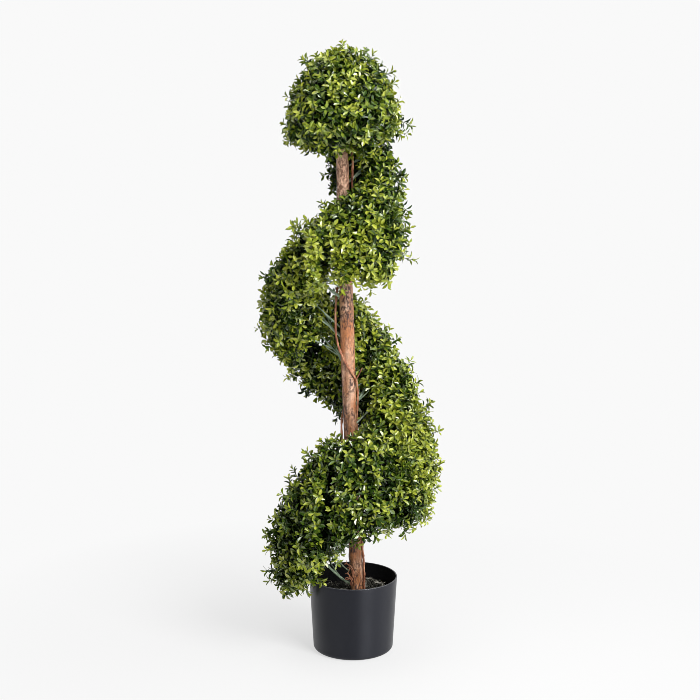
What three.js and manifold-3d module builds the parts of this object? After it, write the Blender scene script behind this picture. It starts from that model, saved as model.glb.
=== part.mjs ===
// A spiral topiary: a leafy band that climbs a leaning wooden trunk in a right-handed screw to a ball at
// the top. It stands in a round plastic pot. Millimetres, +Z up. The origin is the centre of the pot's
// underside, -Y is the front, and azimuths are degrees counter-clockwise from +X, seen from above.
import * as THREE from 'three';
import { mergeVertices } from 'three/addons/utils/BufferGeometryUtils.js';
import Module from 'manifold-3d';

const wasm = await Module();
wasm.setup();

// ---- Driving dimensions ----
const GAP = 0.3; // free space left between neighbouring solids
const TOTAL_HEIGHT = 1200;

const POT_HEIGHT = 150.5;
const POT_RIM_RADIUS = 88.2;
const POT_BASE_RADIUS = 80.4;
const POT_WALL = 2.6;
const POT_FLOOR = 4;
const POT_FOOT_ROUND = 5;
const POT_RIM_EDGE = 0.8; // the rim's outer edge is cut off by this much
const POT_SIDES = 48;
const POT_CLEARANCE = 2; // room between the leaves and the pot

const FILLER_DROP = 35; // from the rim down to the filler
const FILLER_TOP = POT_HEIGHT - FILLER_DROP;
const SOCKET_DEPTH = 60; // the trunk's foot is set this deep in the filler

const TRUNK_TOP = 1105;
const TRUNK_BASE_RADIUS = 12.5;
const TRUNK_SWELL = 1.2; // the pole is a little thicker half way up
const TRUNK_FOOT_X = 12.5; // where its axis meets the floor
const TRUNK_LEAN = 0.045; // towards -X for each millimetre of height
const TRUNK_STRAIGHTENING = 1.1e-5;
const TRUNK_BOW = 4;
const TRUNK_SIDES = 14;
const TRUNK_RINGS = 22;

const BAND_START = 178; // azimuth of the band's low end
const BAND_END = 836; // azimuth where it runs in under the ball
const BAND_PITCH = 472;
const BAND_FRONT_HEIGHT = 372; // the band's middle, next to the trunk, where it first passes the front
const BAND_WAVE = 24; // in each turn it stands high at the front left and low at the back right
const BAND_WAVE_PEAK = 235;
const BAND_SAG = 18; // and twice in each turn it sags: at the front right and at the back left
const BAND_SAG_AT = 325;
const FRONT = 270;
const BAND_DROOP = 66; // its outer edge hangs this much below its inner edge
const BAND_DROOP_SWING = 8; // more on the right, less on the left
const BAND_MASSES = 9;
const MASS_GAP_DEG = 0.8;
const MASS_SIDES = 18;
const MASS_RINGS = 12;
const MASS_LUMPINESS = 0.07;
const LUMPY_FROM = -0.4; // lumps rise from here outwards: -1 is the inner edge, 1 the outer
const SECTION_SQUARENESS = 0.85; // below 1, the section's corners are fuller than a circle's
const JOINT_SQUARENESS = 0.2; // from 0, cut off square, to 1, a round end
const LOW_END_SQUARENESS = 0.6;
const BAND_INNER_RADIUS = 34;
const LOW_REACH = 181; // the band's outer radius at its low end
const MIDDLE_REACH = 172;
const MIDDLE_START = 330; // azimuth by which it has come in to the middle reach
const TOP_REACH = 90; // its outer radius where it ends
const NARROWING_START = 540; // azimuth from which it narrows to that
const BAND_HALF_HEIGHT = 104;
const FRONT_THINNING = 28; // the band is thin across the front and thick behind the trunk
const THINNEST = 240;
const LOW_END_EXTRA = 46; // near its low end it is fuller, and hangs
const LOW_END_HANG = 33;
const LOW_END_FULLEST = 226;
const LOW_END_SPREAD = 75;
// Uneven places of the band: [azimuth, how far to each side, millimetres]
const SHOULDERS = [[225, 48, 42], [435, 50, 50]]; // it stands up next to the trunk
const HANGING_EDGES = [[192, 45, 15], [348, 55, 29]]; // its outer edge hangs lower
const UNDERSIDES = [[505, 42, 22], [512, 26, 14], [836, 60, -32]]; // it is cut away below, or hangs

const BALL_RADIUS = 114;
const BALL_WIDEST = 1052; // height of its widest level
const BALL_LOWER = 64; // half height below that level
const BALL_SHIFT = 5; // it sits this far towards +X of the trunk's line
const BALL_LEAN = -4; // its top stands this far towards +X of its widest level
const BALL_TAPER = 0.09; // its upper half narrows by this share more than a round one does
const BALL_SKIRT = 0.22; // fullness of its hanging lower edge
const BALL_LUMPINESS = 0.05;
const BALL_SIDES = 22;
const BALL_RINGS = 14;
const BALL_CLEARANCE = 2; // room between the ball and the band
const TUNNEL_CLEARANCE = 11; // room round the trunk inside the ball, for the vines

const BOUGHS_PER_MASS = 2;
const BOUGH_PHASE = 0.35; // the first stands this share of a step from the band's low end
const BOUGH_ROOT_RADIUS = 3.2;
const BOUGH_TIP_RADIUS = 2;
const BOUGH_ROOT_DEPTH = 0.4; // it starts at this share of the trunk's radius
const BOUGH_SIDES = 8;
const BOUGH_RISE = 42; // degrees above level
const BOUGH_DROP = 62; // a bough leaves the trunk this far under the band's middle
const BOUGH_LENGTH = 78;
const BALL_BOUGHS = 5;
const BALL_BOUGH_START = 20; // azimuth of the first
const BALL_BOUGH_DROP = 48;
const BALL_BOUGH_STEP = 9; // each leaves the trunk this far above the last
const BALL_BOUGH_LENGTH = 64;
const FOOT_BOUGH_AZIMUTH = 187; // a last bough leaves the trunk's foot for the low end
const FOOT_BOUGH_HEIGHT = 14; // above the filler
const FOOT_BOUGH_LENGTH = 86;

const VINE_RADIUS = 2.4;
const VINE_SIDES = 5;
const VINE_STEPS_PER_STATION = 2;

// ---- Small helpers ----
const WELD = 1e-3; // corners nearer than this are one
const TINY = 1e-6; // a ring narrower than this is a pole
const radians = THREE.MathUtils.degToRad;
const { lerp, smoothstep } = THREE.MathUtils;

// A closed geometry as a solid that can be cut and joined.
function solidOf(geometry) {
  const bare = geometry.index ? geometry.toNonIndexed() : geometry.clone();
  for (const name of Object.keys(bare.attributes)) {
    if (name !== 'position') bare.deleteAttribute(name);
  }
  const merged = mergeVertices(bare, WELD);
  return new wasm.Manifold(new wasm.Mesh({
    numProp: 3,
    vertProperties: merged.attributes.position.array,
    triVerts: new Uint32Array(merged.index.array),
  }));
}

// The solid back as a geometry. Only its largest body is kept: the band's last mass runs in under the
// ball, and what would come out at the ball's far side is left off.
function geometryOf(solid) {
  const bodies = solid.decompose();
  const largest = bodies.reduce((a, b) => (a.volume() > b.volume() ? a : b));
  const mesh = largest.getMesh();
  const geometry = new THREE.BufferGeometry();
  geometry.setAttribute('position', new THREE.BufferAttribute(mesh.vertProperties, 3));
  geometry.setIndex(new THREE.BufferAttribute(mesh.triVerts, 1));
  geometry.computeVertexNormals();
  return geometry;
}

// Moves every corner of a geometry to where place() puts it.
function reshaped(geometry, place) {
  const position = geometry.attributes.position;
  const corner = new THREE.Vector3();
  for (let i = 0; i < position.count; i += 1) {
    corner.fromBufferAttribute(position, i);
    place(corner);
    position.setXYZ(i, corner.x, corner.y, corner.z);
  }
  return geometry;
}

// A tapering round rod from one point to another.
function rod(from, to, rootRadius, tipRadius, sides) {
  const along = to.clone().sub(from);
  const geometry = new THREE.CylinderGeometry(tipRadius, rootRadius, along.length(), sides);
  const turn = new THREE.Quaternion().setFromUnitVectors(
    new THREE.Vector3(0, 1, 0), along.clone().normalize());
  geometry.applyQuaternion(turn);
  const middle = from.clone().add(to).multiplyScalar(0.5);
  return geometry.translate(middle.x, middle.y, middle.z);
}

// Lumps of the clipped leaf surface, from -1 to 1: three smooth waves that cross, each with its own
// share, and a phase that sets where its lumps fall. A lump is about a hand's width across.
const LUMP = 13;

function lumps(x, y, z) {
  const level = Math.sin(x / LUMP + 1.3) * Math.sin(y / LUMP + 0.4);
  const rising = Math.sin((z + 0.4 * x) / LUMP + 5.2);
  const slanting = Math.sin((1.3 * y - 0.8 * z) / LUMP + 4);
  return 0.55 * level + 0.25 * rising + 0.2 * slanting;
}

// ---- The trunk's line and the band's path ----
function trunkAxis(z) {
  const share = THREE.MathUtils.clamp((z - FILLER_TOP) / (TRUNK_TOP - FILLER_TOP), 0, 1);
  return new THREE.Vector3(
    TRUNK_FOOT_X - TRUNK_LEAN * z + TRUNK_STRAIGHTENING * z * z,
    TRUNK_BOW * Math.sin(Math.PI * share),
    z);
}

function trunkRadius(z) {
  const share = THREE.MathUtils.clamp((z - FILLER_TOP) / (TRUNK_TOP - FILLER_TOP), 0, 1);
  return TRUNK_BASE_RADIUS + TRUNK_SWELL * Math.sin(Math.PI * share);
}

// The point at a radius and azimuth round the trunk, at a height.
function roundTrunk(radius, azimuth, z) {
  const centre = trunkAxis(z);
  centre.x += radius * Math.cos(radians(azimuth));
  centre.y += radius * Math.sin(radians(azimuth));
  return centre;
}

// The sum of uneven places at an azimuth. Each falls smoothly from its middle to 0 on both sides.
function uneven(places, azimuth) {
  return places.reduce((sum, [middle, spread, size]) => {
    const off = Math.min(1, Math.abs(azimuth - middle) / spread);
    return sum + size * Math.cos(Math.PI / 2 * off) ** 2;
  }, 0);
}

// 1 where the low end is fullest, falling to 0 on both sides of it.
function lowEndShare(azimuth) {
  return uneven([[LOW_END_FULLEST, LOW_END_SPREAD, 1]], azimuth);
}

function bandHeight(azimuth) {
  const wave = BAND_WAVE * Math.cos(radians(azimuth - BAND_WAVE_PEAK));
  const sag = BAND_SAG * Math.cos(radians(2 * (azimuth - BAND_SAG_AT)));
  const hang = LOW_END_HANG * lowEndShare(azimuth);
  return BAND_FRONT_HEIGHT + BAND_PITCH * (azimuth - FRONT) / 360 + wave - sag - hang;
}

// How far the band's outer edge hangs below its inner edge.
function bandDroop(azimuth) {
  return BAND_DROOP + BAND_DROOP_SWING * Math.cos(radians(azimuth)) + uneven(HANGING_EDGES, azimuth);
}

function bandReach(azimuth) {
  const low = lerp(LOW_REACH, MIDDLE_REACH, smoothstep(azimuth, BAND_START, MIDDLE_START));
  return lerp(low, TOP_REACH, smoothstep(azimuth, NARROWING_START, BAND_END));
}

function bandHalfHeight(azimuth) {
  const lowEnd = LOW_END_EXTRA * lowEndShare(azimuth);
  return BAND_HALF_HEIGHT + lowEnd - FRONT_THINNING * Math.cos(radians(azimuth - THINNEST));
}

// ---- Materials ----
const material = (color, roughness) => new THREE.MeshStandardMaterial({ color, roughness, metalness: 0 });
const potPlastic = material(0x2f3033, 0.45);
const fillerMix = material(0x241d18, 0.95);
const trunkBark = material(0xa97a5c, 0.8);
const vineBark = material(0x7a4630, 0.75);
const stemPlastic = material(0x5f7d68, 0.5);
const leafPlastic = material(0x5d7a2b, 0.45);

// ---- Pot and filler ----
function pot() {
  const innerBase = POT_BASE_RADIUS - POT_WALL;
  const profile = [
    [0, 0],
    [POT_BASE_RADIUS - POT_FOOT_ROUND, 0],
    [POT_BASE_RADIUS - POT_FOOT_ROUND * 0.3, POT_FOOT_ROUND * 0.3],
    [POT_BASE_RADIUS, POT_FOOT_ROUND],
    [POT_RIM_RADIUS, POT_HEIGHT - POT_RIM_EDGE],
    [POT_RIM_RADIUS - POT_RIM_EDGE, POT_HEIGHT],
    [POT_RIM_RADIUS - POT_WALL, POT_HEIGHT],
    [innerBase, POT_FOOT_ROUND + POT_FLOOR],
    [innerBase - POT_FOOT_ROUND, POT_FLOOR],
    [0, POT_FLOOR],
  ].map(([radius, height]) => new THREE.Vector2(radius, height));
  return new THREE.LatheGeometry(profile, POT_SIDES).rotateX(Math.PI / 2);
}

// The pot's outer shape as a solid block, grown on all sides.
function potOutside(extra) {
  const profile = [
    [0, -extra],
    [POT_BASE_RADIUS + extra, -extra],
    [POT_RIM_RADIUS + extra, POT_HEIGHT + extra],
    [0, POT_HEIGHT + extra],
  ].map(([radius, height]) => new THREE.Vector2(radius, height));
  return new THREE.LatheGeometry(profile, POT_SIDES).rotateX(Math.PI / 2);
}

function innerPotRadius(z) {
  const share = (z - POT_FOOT_ROUND - POT_FLOOR) / (POT_HEIGHT - POT_FOOT_ROUND - POT_FLOOR);
  return lerp(POT_BASE_RADIUS, POT_RIM_RADIUS, share) - POT_WALL;
}

function trunk(extra = 0) {
  const foot = FILLER_TOP - SOCKET_DEPTH - extra;
  const top = TRUNK_TOP + extra;
  const height = top - foot;
  const geometry = new THREE.CylinderGeometry(1, 1, height, TRUNK_SIDES, TRUNK_RINGS);
  geometry.rotateX(Math.PI / 2).translate(0, 0, (top + foot) / 2);
  return reshaped(geometry, (corner) => {
    const axis = trunkAxis(corner.z);
    const radius = trunkRadius(corner.z) + extra;
    corner.set(axis.x + corner.x * radius, axis.y + corner.y * radius, corner.z);
  });
}

function filler() {
  const lowest = POT_FLOOR + GAP;
  const shoulder = POT_FLOOR + POT_FOOT_ROUND + GAP;
  const profile = [
    [0, lowest],
    [innerPotRadius(shoulder) - POT_FOOT_ROUND - 2 * GAP, lowest],
    [innerPotRadius(shoulder) - 2 * GAP, shoulder],
    [innerPotRadius(FILLER_TOP) - 2 * GAP, FILLER_TOP],
    [0, FILLER_TOP],
  ].map(([radius, height]) => new THREE.Vector2(radius, height));
  const plug = new THREE.LatheGeometry(profile, POT_SIDES).rotateX(Math.PI / 2);
  return geometryOf(solidOf(plug).subtract(solidOf(trunk(GAP))));
}

// ---- Vines that climb the trunk: each is a list of [height, azimuth, distance off the bark] ----
const VINE_FOOT = FILLER_TOP + VINE_RADIUS + 1;
const VINES = {
  vine_long: [
    [VINE_FOOT, 342, 1], [150, 338, 1], [185, 344, 1.5], [215, 340, 1], [260, 338, 0.8], [330, 348, 0.8],
    [385, 375, 1], [420, 398, 1], [458, 400, 1], [490, 385, 1], [517, 365, 1], [540, 350, 1.8],
    [556, 322, 1.2], [569, 291, 1.2], [582, 262, 1.2], [595, 240, 1.2], [607, 221, 1.4], [618, 205, 3],
    [632, 192, 5], [655, 184, 5.5], [680, 180, 5], [710, 166, 3], [760, 135, 1], [820, 98, 1], [880, 62, 1],
    [903, 25, 1.5], [930, -12, 3], [970, -14, 4], [1005, -14, 4], [1040, -20, 1],
  ],
  vine_left: [
    [VINE_FOOT, 112, 1], [150, 114, 1], [200, 120, 1], [260, 130, 1], [320, 138, 1], [370, 148, 1],
    [410, 165, 1], [445, 184, 1], [480, 155, 1], [500, 125, 1],
  ],
  vine_curl: [
    [VINE_FOOT + 1, 150, 3], [138, 158, 4], [160, 160, 7], [176, 164, 13], [180, 168, 20],
    [172, 171, 25], [160, 173, 22], [154, 173, 16],
  ],
};

function vine(stations) {
  const route = stations.map(([z, azimuth, off]) =>
    roundTrunk(trunkRadius(z) + VINE_RADIUS + GAP + off, azimuth, z));
  const path = new THREE.CatmullRomCurve3(route);
  const section = new THREE.Shape();
  for (let i = 0; i <= VINE_SIDES; i += 1) {
    const turn = 2 * Math.PI * i / VINE_SIDES;
    section[i ? 'lineTo' : 'moveTo'](VINE_RADIUS * Math.cos(turn), VINE_RADIUS * Math.sin(turn));
  }
  const steps = VINE_STEPS_PER_STATION * stations.length;
  return new THREE.ExtrudeGeometry(section, { steps, extrudePath: path, bevelEnabled: false });
}

// ---- Boughs: stiff stems from the trunk up into the leaves ----
function bough(place, extra = 0) {
  const { azimuth, z, length } = place;
  const start = roundTrunk(trunkRadius(z) * BOUGH_ROOT_DEPTH, azimuth, z);
  const level = length * Math.cos(radians(BOUGH_RISE));
  const end = start.clone().add(new THREE.Vector3(
    level * Math.cos(radians(azimuth)),
    level * Math.sin(radians(azimuth)),
    length * Math.sin(radians(BOUGH_RISE))));
  const reach = end.clone().sub(start).normalize().multiplyScalar(extra);
  return rod(start, end.add(reach), BOUGH_ROOT_RADIUS + extra, BOUGH_TIP_RADIUS + extra, BOUGH_SIDES);
}

function boughPlaces() {
  const places = [];
  const count = BAND_MASSES * BOUGHS_PER_MASS;
  const step = (BAND_END - BAND_START) / count;
  for (let i = 0; i < count; i += 1) {
    const azimuth = BAND_START + (i + BOUGH_PHASE) * step;
    const share = bandReach(azimuth) / LOW_REACH;
    places.push({
      azimuth,
      z: bandHeight(azimuth) - BOUGH_DROP * share,
      length: BOUGH_LENGTH * share,
    });
  }
  for (let i = 0; i < BALL_BOUGHS; i += 1) {
    places.push({
      azimuth: BALL_BOUGH_START + i * 360 / BALL_BOUGHS,
      z: BALL_WIDEST - BALL_BOUGH_DROP + BALL_BOUGH_STEP * i,
      length: BALL_BOUGH_LENGTH,
    });
  }
  places.push({
    azimuth: FOOT_BOUGH_AZIMUTH,
    z: FILLER_TOP + FOOT_BOUGH_HEIGHT,
    length: FOOT_BOUGH_LENGTH,
  });
  return places;
}

// ---- Masses of leaves ----
// A unit sphere whose poles point along the band becomes one lump of it. t runs along the lump from -1
// to 1, and level and up are where a corner lies across the band, from -1 to 1.
function bandMass(index) {
  const span = (BAND_END - BAND_START) / BAND_MASSES;
  const middle = BAND_START + (index + 0.5) * span;
  const soften = (value, power) => Math.sign(value) * Math.abs(value) ** power;
  return reshaped(new THREE.SphereGeometry(1, MASS_SIDES, MASS_RINGS), (corner) => {
    const pole = THREE.MathUtils.clamp(corner.y, -1, 1);
    const squareness = index === 0 && pole < 0 ? LOW_END_SQUARENESS : JOINT_SQUARENESS;
    const ring = Math.sqrt(1 - pole * pole);
    const width = ring ** squareness;
    const level = ring > TINY ? soften(corner.x / ring, SECTION_SQUARENESS) * width : 0;
    const up = ring > TINY ? soften(corner.z / ring, SECTION_SQUARENESS) * width : 0;
    const azimuth = middle + soften(pole, squareness) * (span - MASS_GAP_DEG) / 2;
    const outward = (level + 1) / 2;
    const radius = lerp(BAND_INNER_RADIUS, bandReach(azimuth), outward);
    const shoulder = uneven(SHOULDERS, azimuth) * Math.max(0, up) * (1 - outward);
    const cutAway = uneven(UNDERSIDES, azimuth) * Math.max(0, -up);
    const z = bandHeight(azimuth) - bandDroop(azimuth) * outward + bandHalfHeight(azimuth) * up
      + shoulder + cutAway;
    const point = roundTrunk(radius, azimuth, z);
    const lumpy = MASS_LUMPINESS * Math.max(0, level - LUMPY_FROM);
    const swell = 1 + lumpy * lumps(point.x, point.y, point.z);
    corner.copy(roundTrunk(radius * swell, azimuth, z));
  });
}

function ball(extra = 0) {
  const centre = trunkAxis(BALL_WIDEST);
  const sphere = new THREE.SphereGeometry(1, BALL_SIDES, BALL_RINGS).rotateX(Math.PI / 2);
  return reshaped(sphere, (corner) => {
    const near = corner.clone().multiplyScalar(BALL_RADIUS);
    const swell = 1 + BALL_LUMPINESS * lumps(near.x, near.y, near.z);
    const below = Math.max(0, -corner.z);
    const above = Math.max(0, corner.z);
    const fullness = swell * (1 + BALL_SKIRT * below * (1 - corner.x) - BALL_TAPER * above);
    const radius = (BALL_RADIUS + extra) * fullness;
    const half = (below ? BALL_LOWER : TOTAL_HEIGHT - BALL_WIDEST) + extra;
    corner.set(
      centre.x + BALL_SHIFT + BALL_LEAN * above + corner.x * radius,
      centre.y + corner.y * radius,
      centre.z + corner.z * half);
  });
}

// ---- The object ----
const topiary = new THREE.Group();

function add(name, geometry, finish) {
  const mesh = new THREE.Mesh(geometry, finish);
  mesh.name = name;
  topiary.add(mesh);
}

const twoDigits = (number) => String(number).padStart(2, '0');
const places = boughPlaces();
const trunkRoom = solidOf(trunk(GAP));
const boughRooms = places.map((place) => solidOf(bough(place, GAP)));

function withoutBoughs(solid) {
  return boughRooms.reduce((left, room) => left.subtract(room), solid);
}

add('pot', pot(), potPlastic);
add('filler', filler(), fillerMix);
add('trunk', trunk(), trunkBark);
for (const [name, stations] of Object.entries(VINES)) {
  add(name, vine(stations), vineBark);
}
places.forEach((place, i) => {
  add(`bough_${twoDigits(i + 1)}`, geometryOf(solidOf(bough(place)).subtract(trunkRoom)), stemPlastic);
});

const potRoom = solidOf(potOutside(POT_CLEARANCE));
const ballRoom = solidOf(ball(BALL_CLEARANCE));
for (let i = 0; i < BAND_MASSES; i += 1) {
  const lump = solidOf(bandMass(i)).subtract(ballRoom).subtract(potRoom);
  add(`foliage_${twoDigits(i + 1)}`, geometryOf(withoutBoughs(lump)), leafPlastic);
}
const tunnel = solidOf(trunk(TUNNEL_CLEARANCE));
add('foliage_ball', geometryOf(withoutBoughs(solidOf(ball()).subtract(tunnel))), leafPlastic);

export default topiary;
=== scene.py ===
# %% [markdown]
# # A spiral topiary in a black pot
# The real object is an artificial plant. A peeled pole leans a little in a weighted plastic pot.
# Stiff plastic stems leave it, and they carry sprays of small glossy leaves that are clipped to one
# band, which winds up the pole to a round top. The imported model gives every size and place: the
# pole's line, the stems, and the room that the leaves fill. This file grows the fine surface inside
# that room.

# %% The frame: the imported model, whose nodes every piece below is measured from
import math

import bpy
import numpy as np
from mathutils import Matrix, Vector
from mathutils.bvhtree import BVHTree
from mathutils.kdtree import KDTree


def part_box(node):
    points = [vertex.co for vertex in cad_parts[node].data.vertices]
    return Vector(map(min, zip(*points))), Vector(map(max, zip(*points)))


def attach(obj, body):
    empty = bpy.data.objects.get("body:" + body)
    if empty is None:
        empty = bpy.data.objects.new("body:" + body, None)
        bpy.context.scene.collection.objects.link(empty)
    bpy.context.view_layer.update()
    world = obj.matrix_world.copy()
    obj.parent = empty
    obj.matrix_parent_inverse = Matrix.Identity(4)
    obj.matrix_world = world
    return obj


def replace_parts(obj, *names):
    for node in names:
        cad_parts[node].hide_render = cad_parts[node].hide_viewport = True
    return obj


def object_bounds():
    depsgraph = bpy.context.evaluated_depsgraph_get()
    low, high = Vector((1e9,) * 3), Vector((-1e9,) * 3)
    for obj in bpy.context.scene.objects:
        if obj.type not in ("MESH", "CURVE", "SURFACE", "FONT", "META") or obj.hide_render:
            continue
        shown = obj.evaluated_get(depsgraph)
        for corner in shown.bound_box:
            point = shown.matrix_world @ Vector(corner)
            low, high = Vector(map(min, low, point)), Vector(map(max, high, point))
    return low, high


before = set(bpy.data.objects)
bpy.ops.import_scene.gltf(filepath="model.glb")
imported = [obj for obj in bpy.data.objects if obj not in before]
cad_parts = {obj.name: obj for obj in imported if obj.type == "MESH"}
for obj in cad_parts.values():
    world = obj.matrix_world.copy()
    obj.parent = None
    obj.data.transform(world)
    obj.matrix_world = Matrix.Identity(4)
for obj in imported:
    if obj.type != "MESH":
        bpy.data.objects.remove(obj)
cad_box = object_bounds()
UP = np.array([0.0, 0.0, 1.0])
MM = 0.001
print("frame:", len(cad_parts), "nodes, height", round(cad_box[1].z, 3), "m")

# %% [markdown]
# ## Camera and lights
# The lens is long, nearly as high as the plant and tilted a little down, so that the pot's rim is
# an open ellipse. A sun lamp would give hard shadows, so the key light is a large soft box. It
# stands to the right of the camera, a third of the way up to overhead, and its gloss is the pale
# band down the pot. A weaker one overhead lights the tops and shades the floor round the pot. A
# wide white panel lights the right side a little, and the rest of the light is a white room.

# %% Camera
CAMERA_PLACE = (-0.0064, -2.8488, 1.1162)
CAMERA_PITCH = math.radians(10.06)
CAMERA_LENS_MM = 76.03
SENSOR_MM = 36
FILTER_WIDTH = 0.8  # a narrow filter keeps the edges of small leaves crisp

camera = bpy.data.objects.new("camera", bpy.data.cameras.new("camera"))
camera.data.sensor_width = SENSOR_MM
camera.data.lens = CAMERA_LENS_MM
camera.location = CAMERA_PLACE
camera.rotation_euler = (math.pi / 2 - CAMERA_PITCH, 0, 0)
bpy.context.scene.collection.objects.link(camera)
bpy.context.scene.camera = camera
bpy.context.scene.view_settings.view_transform = "Standard"
bpy.context.scene.cycles.filter_width = FILTER_WIDTH
print("camera:", CAMERA_LENS_MM, "mm lens,", CAMERA_PLACE[2], "m above the floor")


# %% Lights
def soft_box(name, place, aim, width, height, brightness):
    """A rectangular area light at place, turned to face aim, of power pi * area * brightness."""
    data = bpy.data.lights.new(name, "AREA")
    data.shape = "RECTANGLE"
    data.size, data.size_y = width, height
    data.energy = math.pi * width * height * brightness
    light = bpy.data.objects.new(name, data)
    light.visible_camera = False
    light.location = place
    light.rotation_euler = (Vector(aim) - Vector(place)).to_track_quat("-Z", "Y").to_euler()
    bpy.context.scene.collection.objects.link(light)


MIDDLE = (cad_box[0] + cad_box[1]) / 2
# name, place, width, height and brightness
SOFT_BOXES = (("key", (1.67, -2.14, 2.30), 1.5, 1.5, 17),
              ("overhead", (-0.3, -0.5, 2.7), 1.4, 1.4, 2.2),
              ("white panel", (2.6, -0.9, 1.2), 3.4, 2.4, 1.6))
for name, place, *size_and_brightness in SOFT_BOXES:
    soft_box(name, place, MIDDLE, *size_and_brightness)
print("lights:", ", ".join(box[0] for box in SOFT_BOXES))

# %% White room
ROOM_WHITE = 0.947
ROOM_FRONT_LIGHT = 0.05
ROOM_BACK_LIGHT = 0.55
ROOM_LIT_SIDE = (0.25, 0.85, 0.35)  # towards its light parts: back, ceiling and some of the right
ROOM_FADE = (-0.2, 0.5)  # where its light starts to grow and where it is full, along that way


def add_range(nodes, links, source, low, high, out_low, out_high):
    """source, with low..high carried over to out_low..out_high and held there outside it."""
    carry = nodes.new("ShaderNodeMapRange")
    carry.inputs["From Min"].default_value = low
    carry.inputs["From Max"].default_value = high
    carry.inputs["To Min"].default_value = out_low
    carry.inputs["To Max"].default_value = out_high
    links.new(source, carry.inputs["Value"])
    return carry.outputs["Result"]


def white_room():
    """A room that looks white all round, and whose light comes mostly from behind the plant."""
    room = bpy.data.worlds.new("white room")
    room.use_nodes = True
    nodes, links = room.node_tree.nodes, room.node_tree.links
    seen, light = nodes["Background"], nodes.new("ShaderNodeBackground")
    seen.inputs["Color"].default_value = light.inputs["Color"].default_value = (1, 1, 1, 1)
    seen.inputs["Strength"].default_value = ROOM_WHITE
    direction, along = nodes.new("ShaderNodeTexCoord"), nodes.new("ShaderNodeVectorMath")
    along.operation = "DOT_PRODUCT"
    along.inputs[1].default_value = ROOM_LIT_SIDE
    links.new(direction.outputs["Generated"], along.inputs[0])
    strength = add_range(nodes, links, along.outputs["Value"], *ROOM_FADE,
                         ROOM_FRONT_LIGHT, ROOM_BACK_LIGHT)
    links.new(strength, light.inputs["Strength"])
    ray, pick = nodes.new("ShaderNodeLightPath"), nodes.new("ShaderNodeMixShader")
    links.new(ray.outputs["Is Camera Ray"], pick.inputs["Fac"])
    links.new(light.outputs["Background"], pick.inputs[1])
    links.new(seen.outputs["Background"], pick.inputs[2])
    links.new(pick.outputs["Shader"], nodes["World Output"].inputs["Surface"])
    return room


bpy.context.scene.world = white_room()
print("room: light from", ROOM_FRONT_LIGHT, "in front to", ROOM_BACK_LIGHT, "at the back")

# %% [markdown]
# ## Meshes from arrays
# Nearly everything here is one of two shapes: a grid of points that is closed round on itself, or a
# tube along a path. A curve object for each stem would be slow by the thousand, so both shapes are
# worked out as whole numpy arrays, and one helper hands the arrays to Blender.


# %% Array helpers
def new_piece(name, points, faces, materials, face_material=None, attributes=None):
    """A mesh object from an array of points and an array of faces (all with 3, or all with 4,
    corners).

    face_material gives each face the number of its material; attributes maps a name to one value a
    point.
    """
    faces = np.asarray(faces, np.int32)
    corners = faces.shape[1]
    mesh = bpy.data.meshes.new(name)
    mesh.vertices.add(len(points))
    mesh.vertices.foreach_set("co", np.asarray(points, np.float32).ravel())
    mesh.loops.add(faces.size)
    mesh.loops.foreach_set("vertex_index", faces.ravel())
    mesh.polygons.add(len(faces))
    mesh.polygons.foreach_set("loop_start", np.arange(0, faces.size, corners, dtype=np.int32))
    mesh.polygons.foreach_set("use_smooth", np.ones(len(faces), bool))
    if face_material is not None:
        mesh.polygons.foreach_set("material_index", np.asarray(face_material, np.int32))
    for key, values in (attributes or {}).items():
        layer = mesh.attributes.new(key, "FLOAT", "POINT")
        layer.data.foreach_set("value", np.asarray(values, np.float32))
    mesh.update()
    mesh.validate()
    for material in materials:
        mesh.materials.append(material)
    piece = bpy.data.objects.new(name, mesh)
    bpy.context.scene.collection.objects.link(piece)
    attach(piece, "root")
    return piece


def ring_faces(rings, sides):
    """Quads between rings of points numbered ring by ring, each ring closed on itself."""
    i, j = np.meshgrid(np.arange(rings - 1), np.arange(sides), indexing="ij")
    k = (j + 1) % sides
    quads = np.stack([i * sides + j, i * sides + k, (i + 1) * sides + k, (i + 1) * sides + j], -1)
    return quads.reshape(-1, 4)


def capped_faces(rings, sides):
    """Triangles of a closed tube: its ring_faces, and a fan at each end on a middle point.

    The two middle points, the first ring's and then the last ring's, are numbered after all the
    rings.
    """
    quads = ring_faces(rings, sides)
    j = np.arange(sides)
    k = (j + 1) % sides
    middles, last_ring = rings * sides, (rings - 1) * sides
    return np.concatenate([
        quads[:, [0, 1, 2]], quads[:, [0, 2, 3]],
        np.stack([np.full(sides, middles), k, j], -1),
        np.stack([np.full(sides, middles + 1), last_ring + j, last_ring + k], -1)])


def unit(vectors):
    """Each vector divided by its length."""
    return vectors / np.maximum(np.linalg.norm(vectors, axis=-1, keepdims=True), 1e-12)


def frames_along(paths):
    """Two cross directions at each step of each path, carried along so that they don't twist.

    At each step, the last cross direction loses its part along the new tangent and is made a unit
    again.
    """
    tangents = unit(np.gradient(paths, axis=1))
    start = np.where(np.abs(tangents[:, :1, 2:]) < 0.9, UP, np.array([1.0, 0.0, 0.0]))
    side = unit(np.cross(tangents[:, 0], start[:, 0]))
    sides = [side]
    for step in range(1, paths.shape[1]):
        tangent = tangents[:, step]
        side = unit(side - (side * tangent).sum(-1, keepdims=True) * tangent)
        sides.append(side)
    across = np.stack(sides, 1)
    return tangents, across, np.cross(tangents, across)


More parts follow.
